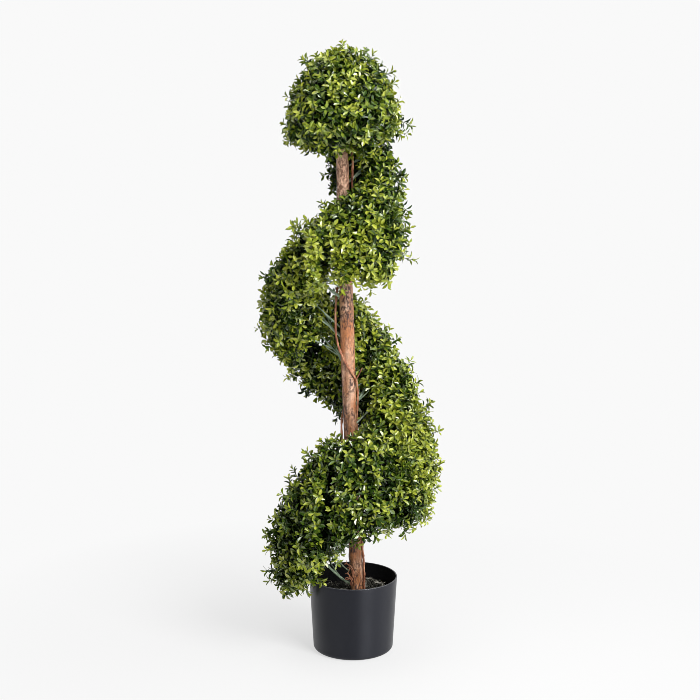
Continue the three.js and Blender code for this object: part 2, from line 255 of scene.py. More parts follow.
def tubes(paths, radii, sides):
    """Points and triangles of round tubes, one along each path, with a flat cap at both ends.

    paths is (tubes, steps, 3) and radii (tubes, steps). A point is its path's point plus
    radius * (cos(turn) * across + sin(turn) * along the second cross direction).
    """
    count, steps, _ = paths.shape
    _, across, second = frames_along(paths)
    turn = np.linspace(0, 2 * np.pi, sides, endpoint=False)
    cos, sin = np.cos(turn)[:, None], np.sin(turn)[:, None]
    rings = paths[:, :, None] + radii[:, :, None, None] * (
        cos * across[:, :, None] + sin * second[:, :, None])
    rings = rings.reshape(count, steps * sides, 3)
    points = np.concatenate([rings, paths[:, :1], paths[:, -1:]], 1)
    faces = capped_faces(steps, sides)[None] + (np.arange(count) * points.shape[1])[:, None, None]
    return points.reshape(-1, 3), faces.reshape(-1, 3)


def bezier(p0, p1, p2, p3, steps):
    """Points of cubic curves: each end's pull fades out as the cube of the way to the other end."""
    t = np.linspace(0, 1, steps)[None, :, None]
    a, b, c, d = (p[:, None] for p in (p0, p1, p2, p3))
    return (1 - t) ** 3 * a + 3 * (1 - t) ** 2 * t * b + 3 * (1 - t) * t ** 2 * c + t ** 3 * d


def soft_noise(shape, smooth, seed):
    """Smooth random hills on a grid that joins up with itself: white noise, blurred by its
    spectrum.

    smooth is the blur in grid cells along each side. The result has mean 0 and spread 1.
    """
    white = np.random.default_rng(seed).standard_normal(shape)
    f0 = np.fft.fftfreq(shape[0])[:, None] * smooth[0]
    f1 = np.fft.fftfreq(shape[1])[None, :] * smooth[1]
    blurred = np.fft.ifft2(np.fft.fft2(white) * np.exp(-2 * np.pi ** 2 * (f0 ** 2 + f1 ** 2))).real
    return (blurred - blurred.mean()) / blurred.std()


def node_points(name):
    """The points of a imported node, in metres."""
    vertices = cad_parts[name].data.vertices
    points = np.zeros(len(vertices) * 3, np.float32)
    vertices.foreach_get("co", points)
    return points.reshape(-1, 3).astype(float)


def node_triangles(name):
    """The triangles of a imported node, each with its three corners."""
    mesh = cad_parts[name].data
    mesh.calc_loop_triangles()
    corners = np.zeros(len(mesh.loop_triangles) * 3, np.int32)
    mesh.loop_triangles.foreach_get("vertices", corners)
    return node_points(name)[corners.reshape(-1, 3)]


# %% [markdown]
# ## Patterns for the finishes
# Plastic, wood and moss are uneven at several scales. Images could show that, but they need a map
# of every surface. Noise on Object coordinates needs none and stays put from all sides, so the
# finishes are made of it: a noise, a ramp or a mix for the colour, and a bump for the fine relief.


# %% Material helpers
def node_material(name, color, roughness, ior=1.5):
    """A material with plain settings on its shader, and the parts that the recipes wire up."""
    material = bpy.data.materials.new(name)
    material.use_nodes = True
    shader = material.node_tree.nodes["Principled BSDF"]
    shader.inputs["Base Color"].default_value = (*color, 1)
    shader.inputs["Roughness"].default_value = roughness
    shader.inputs["IOR"].default_value = ior
    material.diffuse_color = (*color, 1)
    return material, material.node_tree.nodes, material.node_tree.links, shader


def own_place(nodes):
    """The place of each point of a piece, measured from the piece's origin."""
    return nodes.new("ShaderNodeTexCoord").outputs["Object"]


def add_noise(nodes, links, scale, stretch=(1, 1, 1), detail=4.0, rough=0.55):
    """A noise pattern on Object coordinates, stretched along the axes, and its output."""
    mapping = nodes.new("ShaderNodeMapping")
    mapping.inputs["Scale"].default_value = stretch
    noise = nodes.new("ShaderNodeTexNoise")
    noise.inputs["Scale"].default_value = scale
    noise.inputs["Detail"].default_value = detail
    noise.inputs["Roughness"].default_value = rough
    links.new(own_place(nodes), mapping.inputs["Vector"])
    links.new(mapping.outputs["Vector"], noise.inputs["Vector"])
    return noise.outputs["Fac"]


def add_ramp(nodes, links, source, stops):
    """A colour ramp over source. stops is a list of (place, colour)."""
    ramp = nodes.new("ShaderNodeValToRGB")
    elements = ramp.color_ramp.elements
    while len(elements) < len(stops):
        elements.new(0.5)
    for element, (place, color) in zip(elements, stops):
        element.position = place
        element.color = (*color, 1)
    links.new(source, ramp.inputs["Fac"])
    return ramp.outputs["Color"]


def paint(nodes, links, shader, source, stops):
    """Gives the shader the colours of a ramp over source."""
    links.new(add_ramp(nodes, links, source, stops), shader.inputs["Base Color"])


def add_mix(nodes, links, factor, a, b):
    """Colour a where factor is 0, and b where it is 1. a and b are outputs or plain colours."""
    mix = nodes.new("ShaderNodeMix")
    mix.data_type = "RGBA"
    links.new(factor, mix.inputs["Factor"])
    for socket, value in ((mix.inputs["A"], a), (mix.inputs["B"], b)):
        if isinstance(value, tuple):
            socket.default_value = (*value, 1)
        else:
            links.new(value, socket)
    return mix.outputs["Result"]


def add_bump(nodes, links, shader, height, depth_mm, strength=1.0):
    """Fine relief from a height pattern, depth_mm high where the pattern is 1."""
    bump = nodes.new("ShaderNodeBump")
    bump.inputs["Distance"].default_value = depth_mm * MM
    bump.inputs["Strength"].default_value = strength
    links.new(height, bump.inputs["Height"])
    links.new(bump.outputs["Normal"], shader.inputs["Normal"])


# %% [markdown]
# ## The floor
# The plant stands on plain pale paper that runs up behind it. A curved sheet would need room at the
# back, and shows from the other sides. This is a flat disc whose colour runs into the room's white
# with distance, so that no horizon shows from anywhere. A part of it glows, which keeps the shadows
# faint.

# %% The floor
FLOOR_RADIUS = 14.0
FLOOR_SIDES = 96
FLOOR_PALE = (0.81, 0.81, 0.81)
FLOOR_DROP = 0.5 * MM  # how far it lies under the pot
FLOOR_NEAR = 0.15  # how far out the paper starts to run into the white
FLOOR_FAR = 0.95  # and where it is all white
FLOOR_GLOW = 0.66  # share of its light near the pot that doesn't depend on the lamps


def floor_material():
    """Pale matt paper that glows a little, so that shadows are faint, and fades into the room."""
    material, nodes, links, shader = node_material("floor", FLOOR_PALE, 0.8)
    shader.inputs["Specular IOR Level"].default_value = 0.2
    length = nodes.new("ShaderNodeVectorMath")
    length.operation = "LENGTH"
    glow = nodes.new("ShaderNodeEmission")
    glow.inputs["Strength"].default_value = ROOM_WHITE
    blend = nodes.new("ShaderNodeMixShader")
    links.new(own_place(nodes), length.inputs[0])
    fade = add_range(nodes, links, length.outputs["Value"], FLOOR_NEAR, FLOOR_FAR, FLOOR_GLOW, 1.0)
    links.new(fade, blend.inputs["Fac"])
    links.new(shader.outputs["BSDF"], blend.inputs[1])
    links.new(glow.outputs["Emission"], blend.inputs[2])
    links.new(blend.outputs["Shader"], nodes["Material Output"].inputs["Surface"])
    return material


turn = np.linspace(0, 2 * np.pi, FLOOR_SIDES, endpoint=False)
floor_edge = FLOOR_RADIUS * np.stack([np.cos(turn), np.sin(turn), 0 * turn], -1)
floor_mesh = bpy.data.meshes.new("floor")
floor_mesh.from_pydata(floor_edge.tolist(), [], [list(range(FLOOR_SIDES))])
floor_mesh.materials.append(floor_material())
floor = bpy.data.objects.new("floor", floor_mesh)
floor.location.z = cad_box[0].z - FLOOR_DROP
bpy.context.scene.collection.objects.link(floor)
print("floor: radius", FLOOR_RADIUS, "m")

# %% [markdown]
# ## The pot
# A thin-walled nursery pot of black plastic, moulded smooth, with a rounded foot and a thin rim
# that catches the light; that pale line is a painted highlight, a grey on the rim. It could be a
# tapered cylinder with bevels, but a
# profile turned about the vertical axis holds the outside, both edges and the inside in one
# surface. The profile takes its radii and heights from the imported pot, and has quarter arcs round
# the foot and the rim.

# %% The pot's profile
POT_SIDES = 160
WALL = 2.6 * MM
FOOT_ROUND = 8 * MM
POT_FLOOR = 4 * MM
FOOT_RING_HEIGHT = 7 * MM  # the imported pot's points below this are its foot
EDGE = 0.02 * MM  # radius of the pinhole that a turned profile leaves at the axis
RIM_ROUND = 0.9 * MM


def arc(centre, radius, start, end, steps):
    """Points of an arc in the plane of the profile, from one angle to another, in degrees."""
    turn = np.radians(np.linspace(start, end, steps))
    return np.stack([centre[0] + radius * np.cos(turn), centre[1] + radius * np.sin(turn)], -1)


def lathe(profile, sides):
    """Points and quads of a profile (radius, height) turned about Z, from the axis to the axis."""
    turn = np.linspace(0, 2 * np.pi, sides, endpoint=False)
    radius, height = profile[:, :1], profile[:, 1:]
    points = np.stack([radius * np.cos(turn), radius * np.sin(turn), height + 0 * turn], -1)
    return points.reshape(-1, 3), ring_faces(len(profile), sides)


def straight(a, b, steps):
    """Points evenly spaced from a to b, without b."""
    return np.linspace(a, b, steps, endpoint=False)


_, pot_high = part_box("pot")
RIM_RADIUS = pot_high.x
RIM_HEIGHT = pot_high.z
pot_points_cad = node_points("pot")
foot_ring = pot_points_cad[pot_points_cad[:, 2] < FOOT_RING_HEIGHT]
BASE_RADIUS = np.hypot(foot_ring[:, 0], foot_ring[:, 1]).max()
outer_edge = (RIM_RADIUS - RIM_ROUND, RIM_HEIGHT - RIM_ROUND)
inner_edge = (RIM_RADIUS - WALL + RIM_ROUND, RIM_HEIGHT - RIM_ROUND)
inner_base = BASE_RADIUS - WALL
pot_profile = np.concatenate([
    straight((EDGE, 0), (BASE_RADIUS - FOOT_ROUND, 0), 12),
    arc((BASE_RADIUS - FOOT_ROUND, FOOT_ROUND), FOOT_ROUND, -90, 0, 9),
    straight((BASE_RADIUS, FOOT_ROUND + 2 * MM), (RIM_RADIUS, RIM_HEIGHT - 2 * RIM_ROUND), 24),
    arc(outer_edge, RIM_ROUND, 0, 90, 6),
    straight((RIM_RADIUS - 1.2 * RIM_ROUND, RIM_HEIGHT),
             (RIM_RADIUS - WALL + 1.2 * RIM_ROUND, RIM_HEIGHT), 5),
    arc(inner_edge, RIM_ROUND, 90, 180, 6),
    straight((RIM_RADIUS - WALL, RIM_HEIGHT - WALL), (inner_base, FOOT_ROUND + POT_FLOOR), 16),
    straight((inner_base - 2 * MM, POT_FLOOR + 1 * MM), (EDGE, POT_FLOOR), 8),
    [(EDGE, POT_FLOOR)],
])
print("pot: rim", round(2 * RIM_RADIUS, 3), "m, base", round(2 * BASE_RADIUS, 3), "m across")

# %% The pot's finishes
POT_BLACK = (0.0034, 0.0040, 0.0078)
# the inside's colour, darker than the outside as painted shade
POT_INSIDE_SHADE = (0.003, 0.003, 0.004)
POT_STREAK_TURN = 0.25  # turns of the gloss's long axis away from round the pot


def pot_material():
    """Black polypropylene: satin, with a faint cloudiness in its gloss and a fine moulded grain."""
    material, nodes, links, shader = node_material("pot plastic", POT_BLACK, 0.36, ior=1.465)
    shader.inputs["Specular Tint"].default_value = (0.90, 0.92, 1.0, 1)
    cloud = add_noise(nodes, links, 26, (1, 1, 0.5), detail=5)
    links.new(add_range(nodes, links, cloud, 0.3, 0.7, 0.34, 0.43), shader.inputs["Roughness"])
    shader.inputs["Anisotropic"].default_value = 0.88
    shader.inputs["Anisotropic Rotation"].default_value = POT_STREAK_TURN
    tangent = nodes.new("ShaderNodeTangent")
    tangent.direction_type = "RADIAL"
    tangent.axis = "Z"
    links.new(tangent.outputs["Tangent"], shader.inputs["Tangent"])
    grain = add_noise(nodes, links, 900, detail=2)
    add_bump(nodes, links, shader, grain, 0.05, 0.5)
    return material


def pot_inside_material():
    """The same plastic inside: dull, specked with the filler's dust, and darker as painted shade."""
    material, nodes, links, shader = node_material("pot inside", POT_INSIDE_SHADE, 0.8, ior=1.3)
    specks = add_noise(nodes, links, 420, detail=4, rough=0.7)
    paint(nodes, links, shader, specks, [
        (0.55, POT_INSIDE_SHADE), (0.66, (0.010, 0.010, 0.011)), (0.78, (0.045, 0.040, 0.034))])
    add_bump(nodes, links, shader, specks, 0.2, 0.5)
    return material


def pot_rim_material():
    """The rim's edge, the same plastic painted an uneven grey: a painted highlight."""
    material, nodes, links, shader = node_material("pot rim", (0.06, 0.06, 0.065), 0.3)
    rim_gleam = add_noise(nodes, links, 150, detail=4, rough=0.6)
    paint(nodes, links, shader, rim_gleam, [(0.40, (0.035, 0.036, 0.042)), (0.60, (0.10, 0.10, 0.11))])
    add_bump(nodes, links, shader, rim_gleam, 0.05, 0.5)
    return material


# %% The pot
POT_INSIDE_ROWS = 25  # rows of faces from just under the rim down the inner wall and over the floor
POT_RIM_ROWS = 16  # rows of faces over the rim

pot_points, pot_faces = lathe(pot_profile, POT_SIDES)
pot_rows = np.arange(len(pot_profile) - 1)
inside_row = len(pot_rows) - POT_INSIDE_ROWS
pot_parts = np.select([pot_rows >= inside_row, pot_rows >= inside_row - POT_RIM_ROWS], [1, 2], 0)
pot_piece = new_piece("pot_shell", pot_points, pot_faces,
                      [pot_material(), pot_inside_material(), pot_rim_material()],
                      np.repeat(pot_parts, POT_SIDES))
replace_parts(pot_piece, "pot")
print("pot:", len(pot_faces), "quads")

# %% [markdown]
# ## The pole
# The trunk is a real peeled pole, so it has what machine-turned wood hasn't: a section that isn't
# round, long shallow flutes, knots where branches were cut, and thin plates of bark that are still
# on it. A bump map would leave its outline straight, so this is all shape. One grid wraps it, with
# the angle round it as one parameter and the height as the other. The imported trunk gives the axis
# and the radius, and sums of smooth noise that joins up round the pole give the relief. The same
# bark field goes into the mesh as an attribute, so that the colour follows the plates.

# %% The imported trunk's axis and radius
trunk_points = node_points("trunk")
level = np.round(trunk_points[:, 2], 4)
axis_heights = np.unique(level)
axis_table = np.array([trunk_points[level == z].mean(0) for z in axis_heights])
radius_table = np.array([
    np.hypot(*(trunk_points[level == z] - trunk_points[level == z].mean(0))[:, :2].T).max()
    for z in axis_heights])


def pole_axis(z):
    """The middle of the pole at the heights z."""
    return np.stack([np.interp(z, axis_heights, axis_table[:, 0]),
                     np.interp(z, axis_heights, axis_table[:, 1]), z], -1)


def pole_radius(z):
    """The pole's radius at the heights z."""
    return np.interp(z, axis_heights, radius_table)


print("pole: from", axis_heights[0].round(3), "to", axis_heights[-1].round(3), "m")

# %% The pole's surface
POLE_ROWS = 620
POLE_SIDES = 72
POLE_INSET = 0.4 * MM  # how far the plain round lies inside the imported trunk
KNOTS = 16
rows = np.linspace(axis_heights[0], axis_heights[-1], POLE_ROWS)
angle = np.linspace(0, 2 * np.pi, POLE_SIDES, endpoint=False)
shape = (POLE_ROWS, POLE_SIDES)


def pole_relief():
    """How far the surface stands off the plain round, in metres, and the share of bark left on it.

    The relief is the sum of an oval that turns slowly, long flutes, fine grain, knots (round bumps
    with a dip in the middle), and plates of bark where a patchy noise passes a level.
    """
    rng = np.random.default_rng(11)
    z = rows[:, None]
    oval = 0.5 * MM * np.cos(2 * (angle - 5 * z)) + 0.35 * MM * np.cos(3 * angle + 9 * z)
    flutes = 0.28 * MM * soft_noise(shape, (70, 2.2), 1)
    swells = 0.45 * MM * soft_noise(shape, (26, 9), 2)
    grain = 0.10 * MM * soft_noise(shape, (9, 0.8), 3)
    patchy = 0.8 * soft_noise(shape, (11, 4), 4) + 0.8 * soft_noise(shape, (3.5, 1.4), 5)
    bark = 1 / (1 + np.exp(-(patchy - 1.45) * 6))
    plates = bark * (0.45 * MM + 0.2 * MM * soft_noise(shape, (3, 1.2), 6))
    relief = oval + flutes + swells + grain + plates
    for _ in range(KNOTS):
        height, at = rng.uniform(rows[0], rows[-1]), rng.uniform(0, 2 * np.pi)
        size = rng.uniform(4, 7) * MM
        round_way = np.angle(np.exp(1j * (angle[None] - at))) * 13 * MM
        away = np.hypot((z - height) * 0.75, round_way) / size
        relief = relief + size * (0.30 * np.exp(-away ** 2) - 0.16 * np.exp(-(away * 2.4) ** 2))
        bark = np.maximum(bark, np.exp(-(away * 1.5) ** 2))
    return relief, bark


relief, bark = pole_relief()
outward = np.stack([np.cos(angle), np.sin(angle), 0 * angle], -1)
stand_off = pole_radius(rows)[:, None] - POLE_INSET + relief
pole_grid = pole_axis(rows)[:, None] + stand_off[..., None] * outward
pole_points = np.concatenate([pole_grid.reshape(-1, 3), pole_axis(rows[[0, -1]])])
pole_faces = capped_faces(POLE_ROWS, POLE_SIDES)
print("pole: bark on", round(100 * bark.mean()), "% of it")

# %% The pole's finish
PALE_FROM, PALE_TO = 0.80, 0.92  # heights in metres between which the pole turns paler


def add_attribute(nodes, name):
    """The value of a named attribute of the mesh."""
    attribute = nodes.new("ShaderNodeAttribute")
    attribute.attribute_name = name
    return attribute.outputs["Fac"]


def pole_material():
    """Peeled wood: tan along the grain, orange in blotches, rubbed pale, and flecked with bark.

    The dark flecks are thick in some places and rare in others: a fine noise times a coarse one.
    Towards the top the wood is paler, and so is its bark.
    """
    material, nodes, links, shader = node_material("peeled wood", (0.4, 0.22, 0.13), 0.5)
    grain = add_noise(nodes, links, 120, (1, 1, 0.16), detail=6, rough=0.68)
    wood = add_ramp(nodes, links, grain, [
        (0.30, (0.17, 0.060, 0.028)), (0.44, (0.45, 0.200, 0.095)), (0.56, (0.62, 0.335, 0.19)),
        (0.70, (0.84, 0.54, 0.38))])
    blotch = add_noise(nodes, links, 48, (1, 1, 0.5), detail=5, rough=0.6)
    orange = add_mix(nodes, links, add_range(nodes, links, blotch, 0.43, 0.56, 0.0, 0.85),
                     wood, (0.46, 0.165, 0.055))
    worn = add_noise(nodes, links, 30, (1, 1, 0.22), detail=3)
    rubbed = add_mix(nodes, links, add_range(nodes, links, worn, 0.52, 0.64, 0.0, 0.62),
                     orange, (0.86, 0.57, 0.41))
    height = nodes.new("ShaderNodeSeparateXYZ")
    links.new(own_place(nodes), height.inputs["Vector"])
    paler = add_range(nodes, links, height.outputs["Z"], PALE_FROM, PALE_TO, 0.0, 0.6)
    rubbed = add_mix(nodes, links, paler, rubbed, (0.95, 0.62, 0.43))
    fleck = add_noise(nodes, links, 250, (1, 1, 0.6), detail=5, rough=0.75)
    patch = add_noise(nodes, links, 40, (1, 1, 0.55), detail=4, rough=0.6)
    plates = add_attribute(nodes, "bark")
    speckled = nodes.new("ShaderNodeMath")
    speckled.operation = "MULTIPLY"
    links.new(add_range(nodes, links, fleck, 0.44, 0.55, 0.0, 1.0), speckled.inputs[0])
    links.new(add_range(nodes, links, patch, 0.43, 0.54, 0.34, 1.0), speckled.inputs[1])
    dark = nodes.new("ShaderNodeMath")
    dark.operation = "MULTIPLY_ADD"
    links.new(plates, dark.inputs[0])
    dark.inputs[1].default_value = 0.75
    dark.use_clamp = True
    links.new(speckled.outputs[0], dark.inputs[2])
    bark_tone = add_ramp(nodes, links, height.outputs["Z"], [
        (PALE_FROM, (0.060, 0.028, 0.022)), (PALE_TO, (0.19, 0.085, 0.050))])
    barked = add_mix(nodes, links, dark.outputs[0], rubbed, bark_tone)
    links.new(barked, shader.inputs["Base Color"])
    links.new(add_range(nodes, links, fleck, 0.35, 0.65, 0.36, 0.72), shader.inputs["Roughness"])
    add_bump(nodes, links, shader, grain, 0.8, 0.9)
    return material


pole = new_piece("pole", pole_points, pole_faces, [pole_material()],
                 attributes={"bark": np.append(bark.ravel(), [0, 0])})
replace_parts(pole, "trunk")
print("pole:", len(pole_faces), "triangles")

# %% [markdown]
# ## The vines
# Dry reddish twigs of a climber are wound up the pole. A plain helix would be too regular. The
# packed vines hold their lines, and slices across the height give each one's middle. They are tubes
# with a wandering thickness and a bend at every node, with a few short side shoots, and thin curled
# tendrils at the foot.


# %% The vines' lines and bark
def vine_line(name, steps):
    """The middle of a packed vine, which always climbs: means of its points in level slices."""
    points = node_points(name)
    order = np.argsort(points[:, 2])
    slices = np.array_split(points[order], max(8, len(points) // 30))
    middles = np.array([part.mean(0) for part in slices])
    z = np.linspace(points[:, 2].min(), points[:, 2].max(), steps)
    return np.stack([np.interp(z, middles[:, 2], middles[:, 0]),
                     np.interp(z, middles[:, 2], middles[:, 1]), z], -1)


def vine_material():
    """Red-brown bark of a dry twig, paler along its ridges."""
    material, nodes, links, shader = node_material("vine bark", (0.28, 0.11, 0.06), 0.7)
    grain = add_noise(nodes, links, 130, (1, 1, 0.25), detail=5)
    paint(nodes, links, shader, grain, [
        (0.32, (0.10, 0.032, 0.018)), (0.5, (0.36, 0.135, 0.070)), (0.68, (0.72, 0.38, 0.22))])
    add_bump(nodes, links, shader, grain, 0.35, 0.6)
    return material


VINE_BARK = vine_material()

# %% Vines
VINE_RADIUS = 2.5 * MM
VINE_WANDER = 0.6 * MM  # the most that a vine leaves its line
VINE_END_STEPS = 12  # steps over which its end tapers off


def winding(line, seed):
    """The line with small bends in it, and a radius that swells at nodes along it."""
    rng = np.random.default_rng(seed)
    steps = len(line)
    wander = np.cumsum(rng.normal(0, 0.25 * MM, (steps, 3)), 0)
    wander -= np.linspace(0, 1, steps)[:, None] * wander[-1]
    knees = np.abs(np.sin(np.linspace(0, steps / 9, steps) * np.pi + rng.uniform(0, 3))) ** 8
    radius = VINE_RADIUS * (0.82 + 0.25 * knees + 0.06 * rng.normal(size=steps))
    return line + wander.clip(-VINE_WANDER, VINE_WANDER), radius


def vine(name, node, steps, seed):
    """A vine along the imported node's line."""
    line, radius = winding(vine_line(node, steps), seed)
    radius[-VINE_END_STEPS:] *= np.linspace(1, 0.35, VINE_END_STEPS)
    points, faces = tubes(line[None], radius[None], 9)
    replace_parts(new_piece(name, points, faces, [VINE_BARK]), node)
    print(name + ":", len(faces), "triangles")


vine("vine_winding", "vine_long", 420, 21)
vine("vine_short", "vine_left", 150, 22)

# %% Tendrils and side shoots
CURLS = 4
CURL_STEPS = 40
# height up the pole, how far out and how far up each side shoot goes
VINE_SHOOTS = ((0.552, 15 * MM, 24 * MM), (0.300, 12 * MM, 18 * MM), (0.90, 16 * MM, 18 * MM))


def tendrils():
    """Loose curls at the pole's foot, each a helix that opens out, and shoots off the vine."""
    rng = np.random.default_rng(23)
    low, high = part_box("vine_curl")
    t = np.linspace(0, 1, CURL_STEPS)
    paths, radii = [], []
    for number in range(CURLS):
        start = np.array([high.x + rng.uniform(0, 4) * MM, low.y - rng.uniform(12, 17) * MM,
                          low.z + 14 * MM])
        turn = rng.uniform(0, 6) + rng.uniform(5, 8) * t
        loop = rng.uniform(6, 10) * MM * np.sin(np.pi * t) ** 0.7
        rise = (high.z - low.z) * (0.45 + 0.14 * number) * t ** 0.7
        paths.append(start + np.stack([-8 * MM * t + loop * np.cos(turn), -4 * MM * t + 0 * turn,
                                       rise + loop * np.sin(turn)], -1))
        radii.append(np.linspace(1.2, 0.6, CURL_STEPS) * MM)
    long_vine = vine_line("vine_long", 200)
    for height, out, up in VINE_SHOOTS:
        start = long_vine[np.abs(long_vine[:, 2] - height).argmin()]
        away = unit(start - pole_axis(start[2:3])[0])
        path = start + np.outer(t, out * away) + np.outer(t ** 1.3, UP * up)
        paths.append(path + np.outer(np.sin(3 * t), rng.normal(0, 1.5 * MM, 3)))
        radii.append(np.linspace(1.4, 0.9, CURL_STEPS) * MM)
    return tubes(np.array(paths), np.array(radii), 6)


points, faces = tendrils()
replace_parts(new_piece("tendrils", points, faces, [VINE_BARK]), "vine_curl")
print("tendrils:", len(faces), "triangles")

# %% [markdown]
# ## The filler and its moss
# The pole stands in a plug of cement that fills the pot to a little below its rim. It is covered
# with dark loose stuff, painted nearly black in part as the shade inside the pot, and curly wisps of
# dried moss, which lie in a low heap behind and beside the pole. Hair could make the moss, but it
# has no solid mesh to hand on. The cover is a round grid
# with heavy relief, and each wisp is a thin tube along an arc of a circle.

# %% Filler
filler_low, filler_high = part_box("filler")
FILLER_RADIUS = filler_high.x
FILLER_TOP = filler_high.z
FILLER_RINGS = 70
FILLER_UNDER_RINGS, FILLER_WALL_RINGS = 6, 10  # of those, the ones under it and up its side
FILLER_SIDES = 180


def filler_material():
    """Dark humus with brown crumbs, painted nearly black in part as shade inside the pot."""
    material, nodes, links, shader = node_material("filler cover", (0.02, 0.016, 0.012), 0.95)
    crumbs = add_noise(nodes, links, 240, detail=5, rough=0.7)
    paint(nodes, links, shader, crumbs, [
        (0.35, (0.002, 0.002, 0.0015)), (0.58, (0.006, 0.005, 0.004)),
        (0.75, (0.030, 0.026, 0.018))])
    add_bump(nodes, links, shader, crumbs, 1.2, 0.8)
    return material


def filler_profile():
    """Rings from the middle of the underside outwards, up the wall, and in over the top."""
    low = filler_low.z
    top_rings = FILLER_RINGS - FILLER_UNDER_RINGS - FILLER_WALL_RINGS - 1
    return np.concatenate([
        straight((EDGE, low), (FILLER_RADIUS * 0.9, low), FILLER_UNDER_RINGS),
        straight((FILLER_RADIUS * 0.92, low + 3 * MM), (FILLER_RADIUS, FILLER_TOP - 3 * MM),
                 FILLER_WALL_RINGS),
        straight((FILLER_RADIUS - 0.5 * MM, FILLER_TOP - 2 * MM), (EDGE, FILLER_TOP), top_rings),
        [(EDGE, FILLER_TOP)]])


points, faces = lathe(filler_profile(), FILLER_SIDES)
hills = 1.6 * MM * soft_noise((FILLER_RINGS, FILLER_SIDES), (1.6, 3), 31)
hills += 0.8 * MM * soft_noise((FILLER_RINGS, FILLER_SIDES), (0.8, 1.0), 32)
top = points[:, 2] > FILLER_TOP - 2.5 * MM
points[top, 2] += (hills.ravel()[top] - 2 * MM).clip(-4 * MM, 2 * MM)
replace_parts(new_piece("filler_cover", points, faces, [filler_material()]), "filler")
print("filler:", len(faces), "quads, top at", round(FILLER_TOP, 3), "m")

# %% Moss
MOSS_WISPS = 640
WISP_STEPS = 18
MOSS_EDGES = 18 * MM, FILLER_RADIUS - 12 * MM  # a loose wisp's least and most from the middle
POLE_ROOM = 15.5 * MM  # no wisp comes nearer than this to the pole's middle
MOSS_HEAP = np.array([30 * MM, 34 * MM])  # its place, behind and beside the pole
HEAPED_SHARE = 0.5
HEAP_SPREAD = 15 * MM
HEAP_HEIGHT = 13 * MM


def moss_material():
    """Grey-brown dried moss."""
    material, nodes, links, shader = node_material("dried moss", (0.09, 0.07, 0.05), 0.85)
    tint = add_noise(nodes, links, 60, detail=3)
    paint(nodes, links, shader, tint, [
        (0.38, (0.010, 0.010, 0.006)), (0.50, (0.060, 0.057, 0.043)), (0.60, (0.54, 0.52, 0.45))])
    return material


def moss_wisps(count, seed):
    """Arcs of circles that lie on the filler, a share of them on a bell-shaped heap."""
    rng = np.random.default_rng(seed)
    foot = pole_axis(np.array([FILLER_TOP]))[0]
    t = np.linspace(0, 1, WISP_STEPS)[None]
    far = rng.uniform(*MOSS_EDGES, (count, 1))
    at = rng.uniform(0, 2 * np.pi, (count, 1))
    middle = far[..., None] * np.stack([np.cos(at), np.sin(at)], -1)
    heaped = rng.random((count, 1, 1)) < HEAPED_SHARE
    middle = np.where(heaped, MOSS_HEAP + rng.normal(0, HEAP_SPREAD, (count, 1, 2)), middle)
    bend = rng.uniform(1.5, 7.0, (count, 1)) * rng.choice([-1, 1], (count, 1))
    size = rng.uniform(2.5, 8, (count, 1)) * MM
    turn = rng.uniform(0, 6.3, (count, 1)) + bend * t
    x = middle[..., 0] + size * np.cos(turn)
    y = middle[..., 1] + size * np.sin(turn)
    heap = np.exp(-((x - MOSS_HEAP[0]) ** 2 + (y - MOSS_HEAP[1]) ** 2) / 2 / HEAP_SPREAD ** 2)
    arch = 3 * MM * np.sin(np.pi * t) * rng.uniform(0.2, 1.6, (count, 1))
    lift = FILLER_TOP + rng.uniform(0, 4, (count, 1)) * MM + arch
    lift = lift + HEAP_HEIGHT * heap * rng.random((count, 1))
    clear = np.hypot(x - foot[0], y - foot[1]).min(1) > POLE_ROOM
    clear &= np.hypot(x, y).max(1) < FILLER_RADIUS - 2 * MM
    radii = np.repeat(rng.uniform(0.25, 0.5, (count, 1)) * MM, WISP_STEPS, 1)
    return tubes(np.stack([x, y, lift], -1)[clear], radii[clear], 3)


points, faces = moss_wisps(MOSS_WISPS, 33)
new_piece("moss", points, faces, [moss_material()])
print("moss:", len(faces), "triangles")

# %% [markdown]
# ## The room that the leaves fill
# The real plant was clipped to a smooth band, so its shoots end on one skin. Each packed mass of
# foliage is a closed uneven solid with that skin. Plain random points would clump, so its surface
# is sprinkled thickly and thinned to even spacing, and every point left is the tip of a leafy
# shoot. Points where two masses meet are left out, since no shoot ends there, and so are points
# next to the pole.

# %% The masses
MASSES = sorted(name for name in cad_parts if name.startswith("foliage_"))


def tree_of(name):
    """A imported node's surface, for nearest-point and inside tests."""
    points = node_triangles(name).reshape(-1, 3)
    return BVHTree.FromPolygons(points.tolist(), np.arange(len(points)).reshape(-1, 3).tolist())


TREES = {name: tree_of(name) for name in MASSES}
print("masses:", len(MASSES))


# %% Even sprinkling
def face_cross(corners):
    """For each triangle, a vector square to it whose length is twice its area."""
    return np.cross(corners[:, 1] - corners[:, 0], corners[:, 2] - corners[:, 0])


def scattered(corners, count, rng):
    """count points spread evenly by area over triangles, and the triangles' normals there."""
    a, b, c = corners[:, 0], corners[:, 1], corners[:, 2]
    across = face_cross(corners)
    area = np.linalg.norm(across, axis=1) / 2
    pick = rng.choice(len(corners), count, p=area / area.sum())
    u, v = rng.random(count), rng.random(count)
    over = u + v > 1
    u[over], v[over] = 1 - u[over], 1 - v[over]
    points = a[pick] + u[:, None] * (b - a)[pick] + v[:, None] * (c - a)[pick]
    return points, unit(across)[pick]


def thinned(points, spacing):
    """Numbers of the points kept when none may be nearer than spacing to an earlier one."""
    tree = KDTree(len(points))
    for number, point in enumerate(points):
        tree.insert(point, number)
    tree.balance()
    state = np.zeros(len(points), bool)
    dropped = np.zeros(len(points), bool)
    for number, point in enumerate(points):
        if dropped[number]:
            continue
        state[number] = True
        for _, other, _ in tree.find_range(point, spacing):
            if other != number:
                dropped[other] = True
    return np.flatnonzero(state)


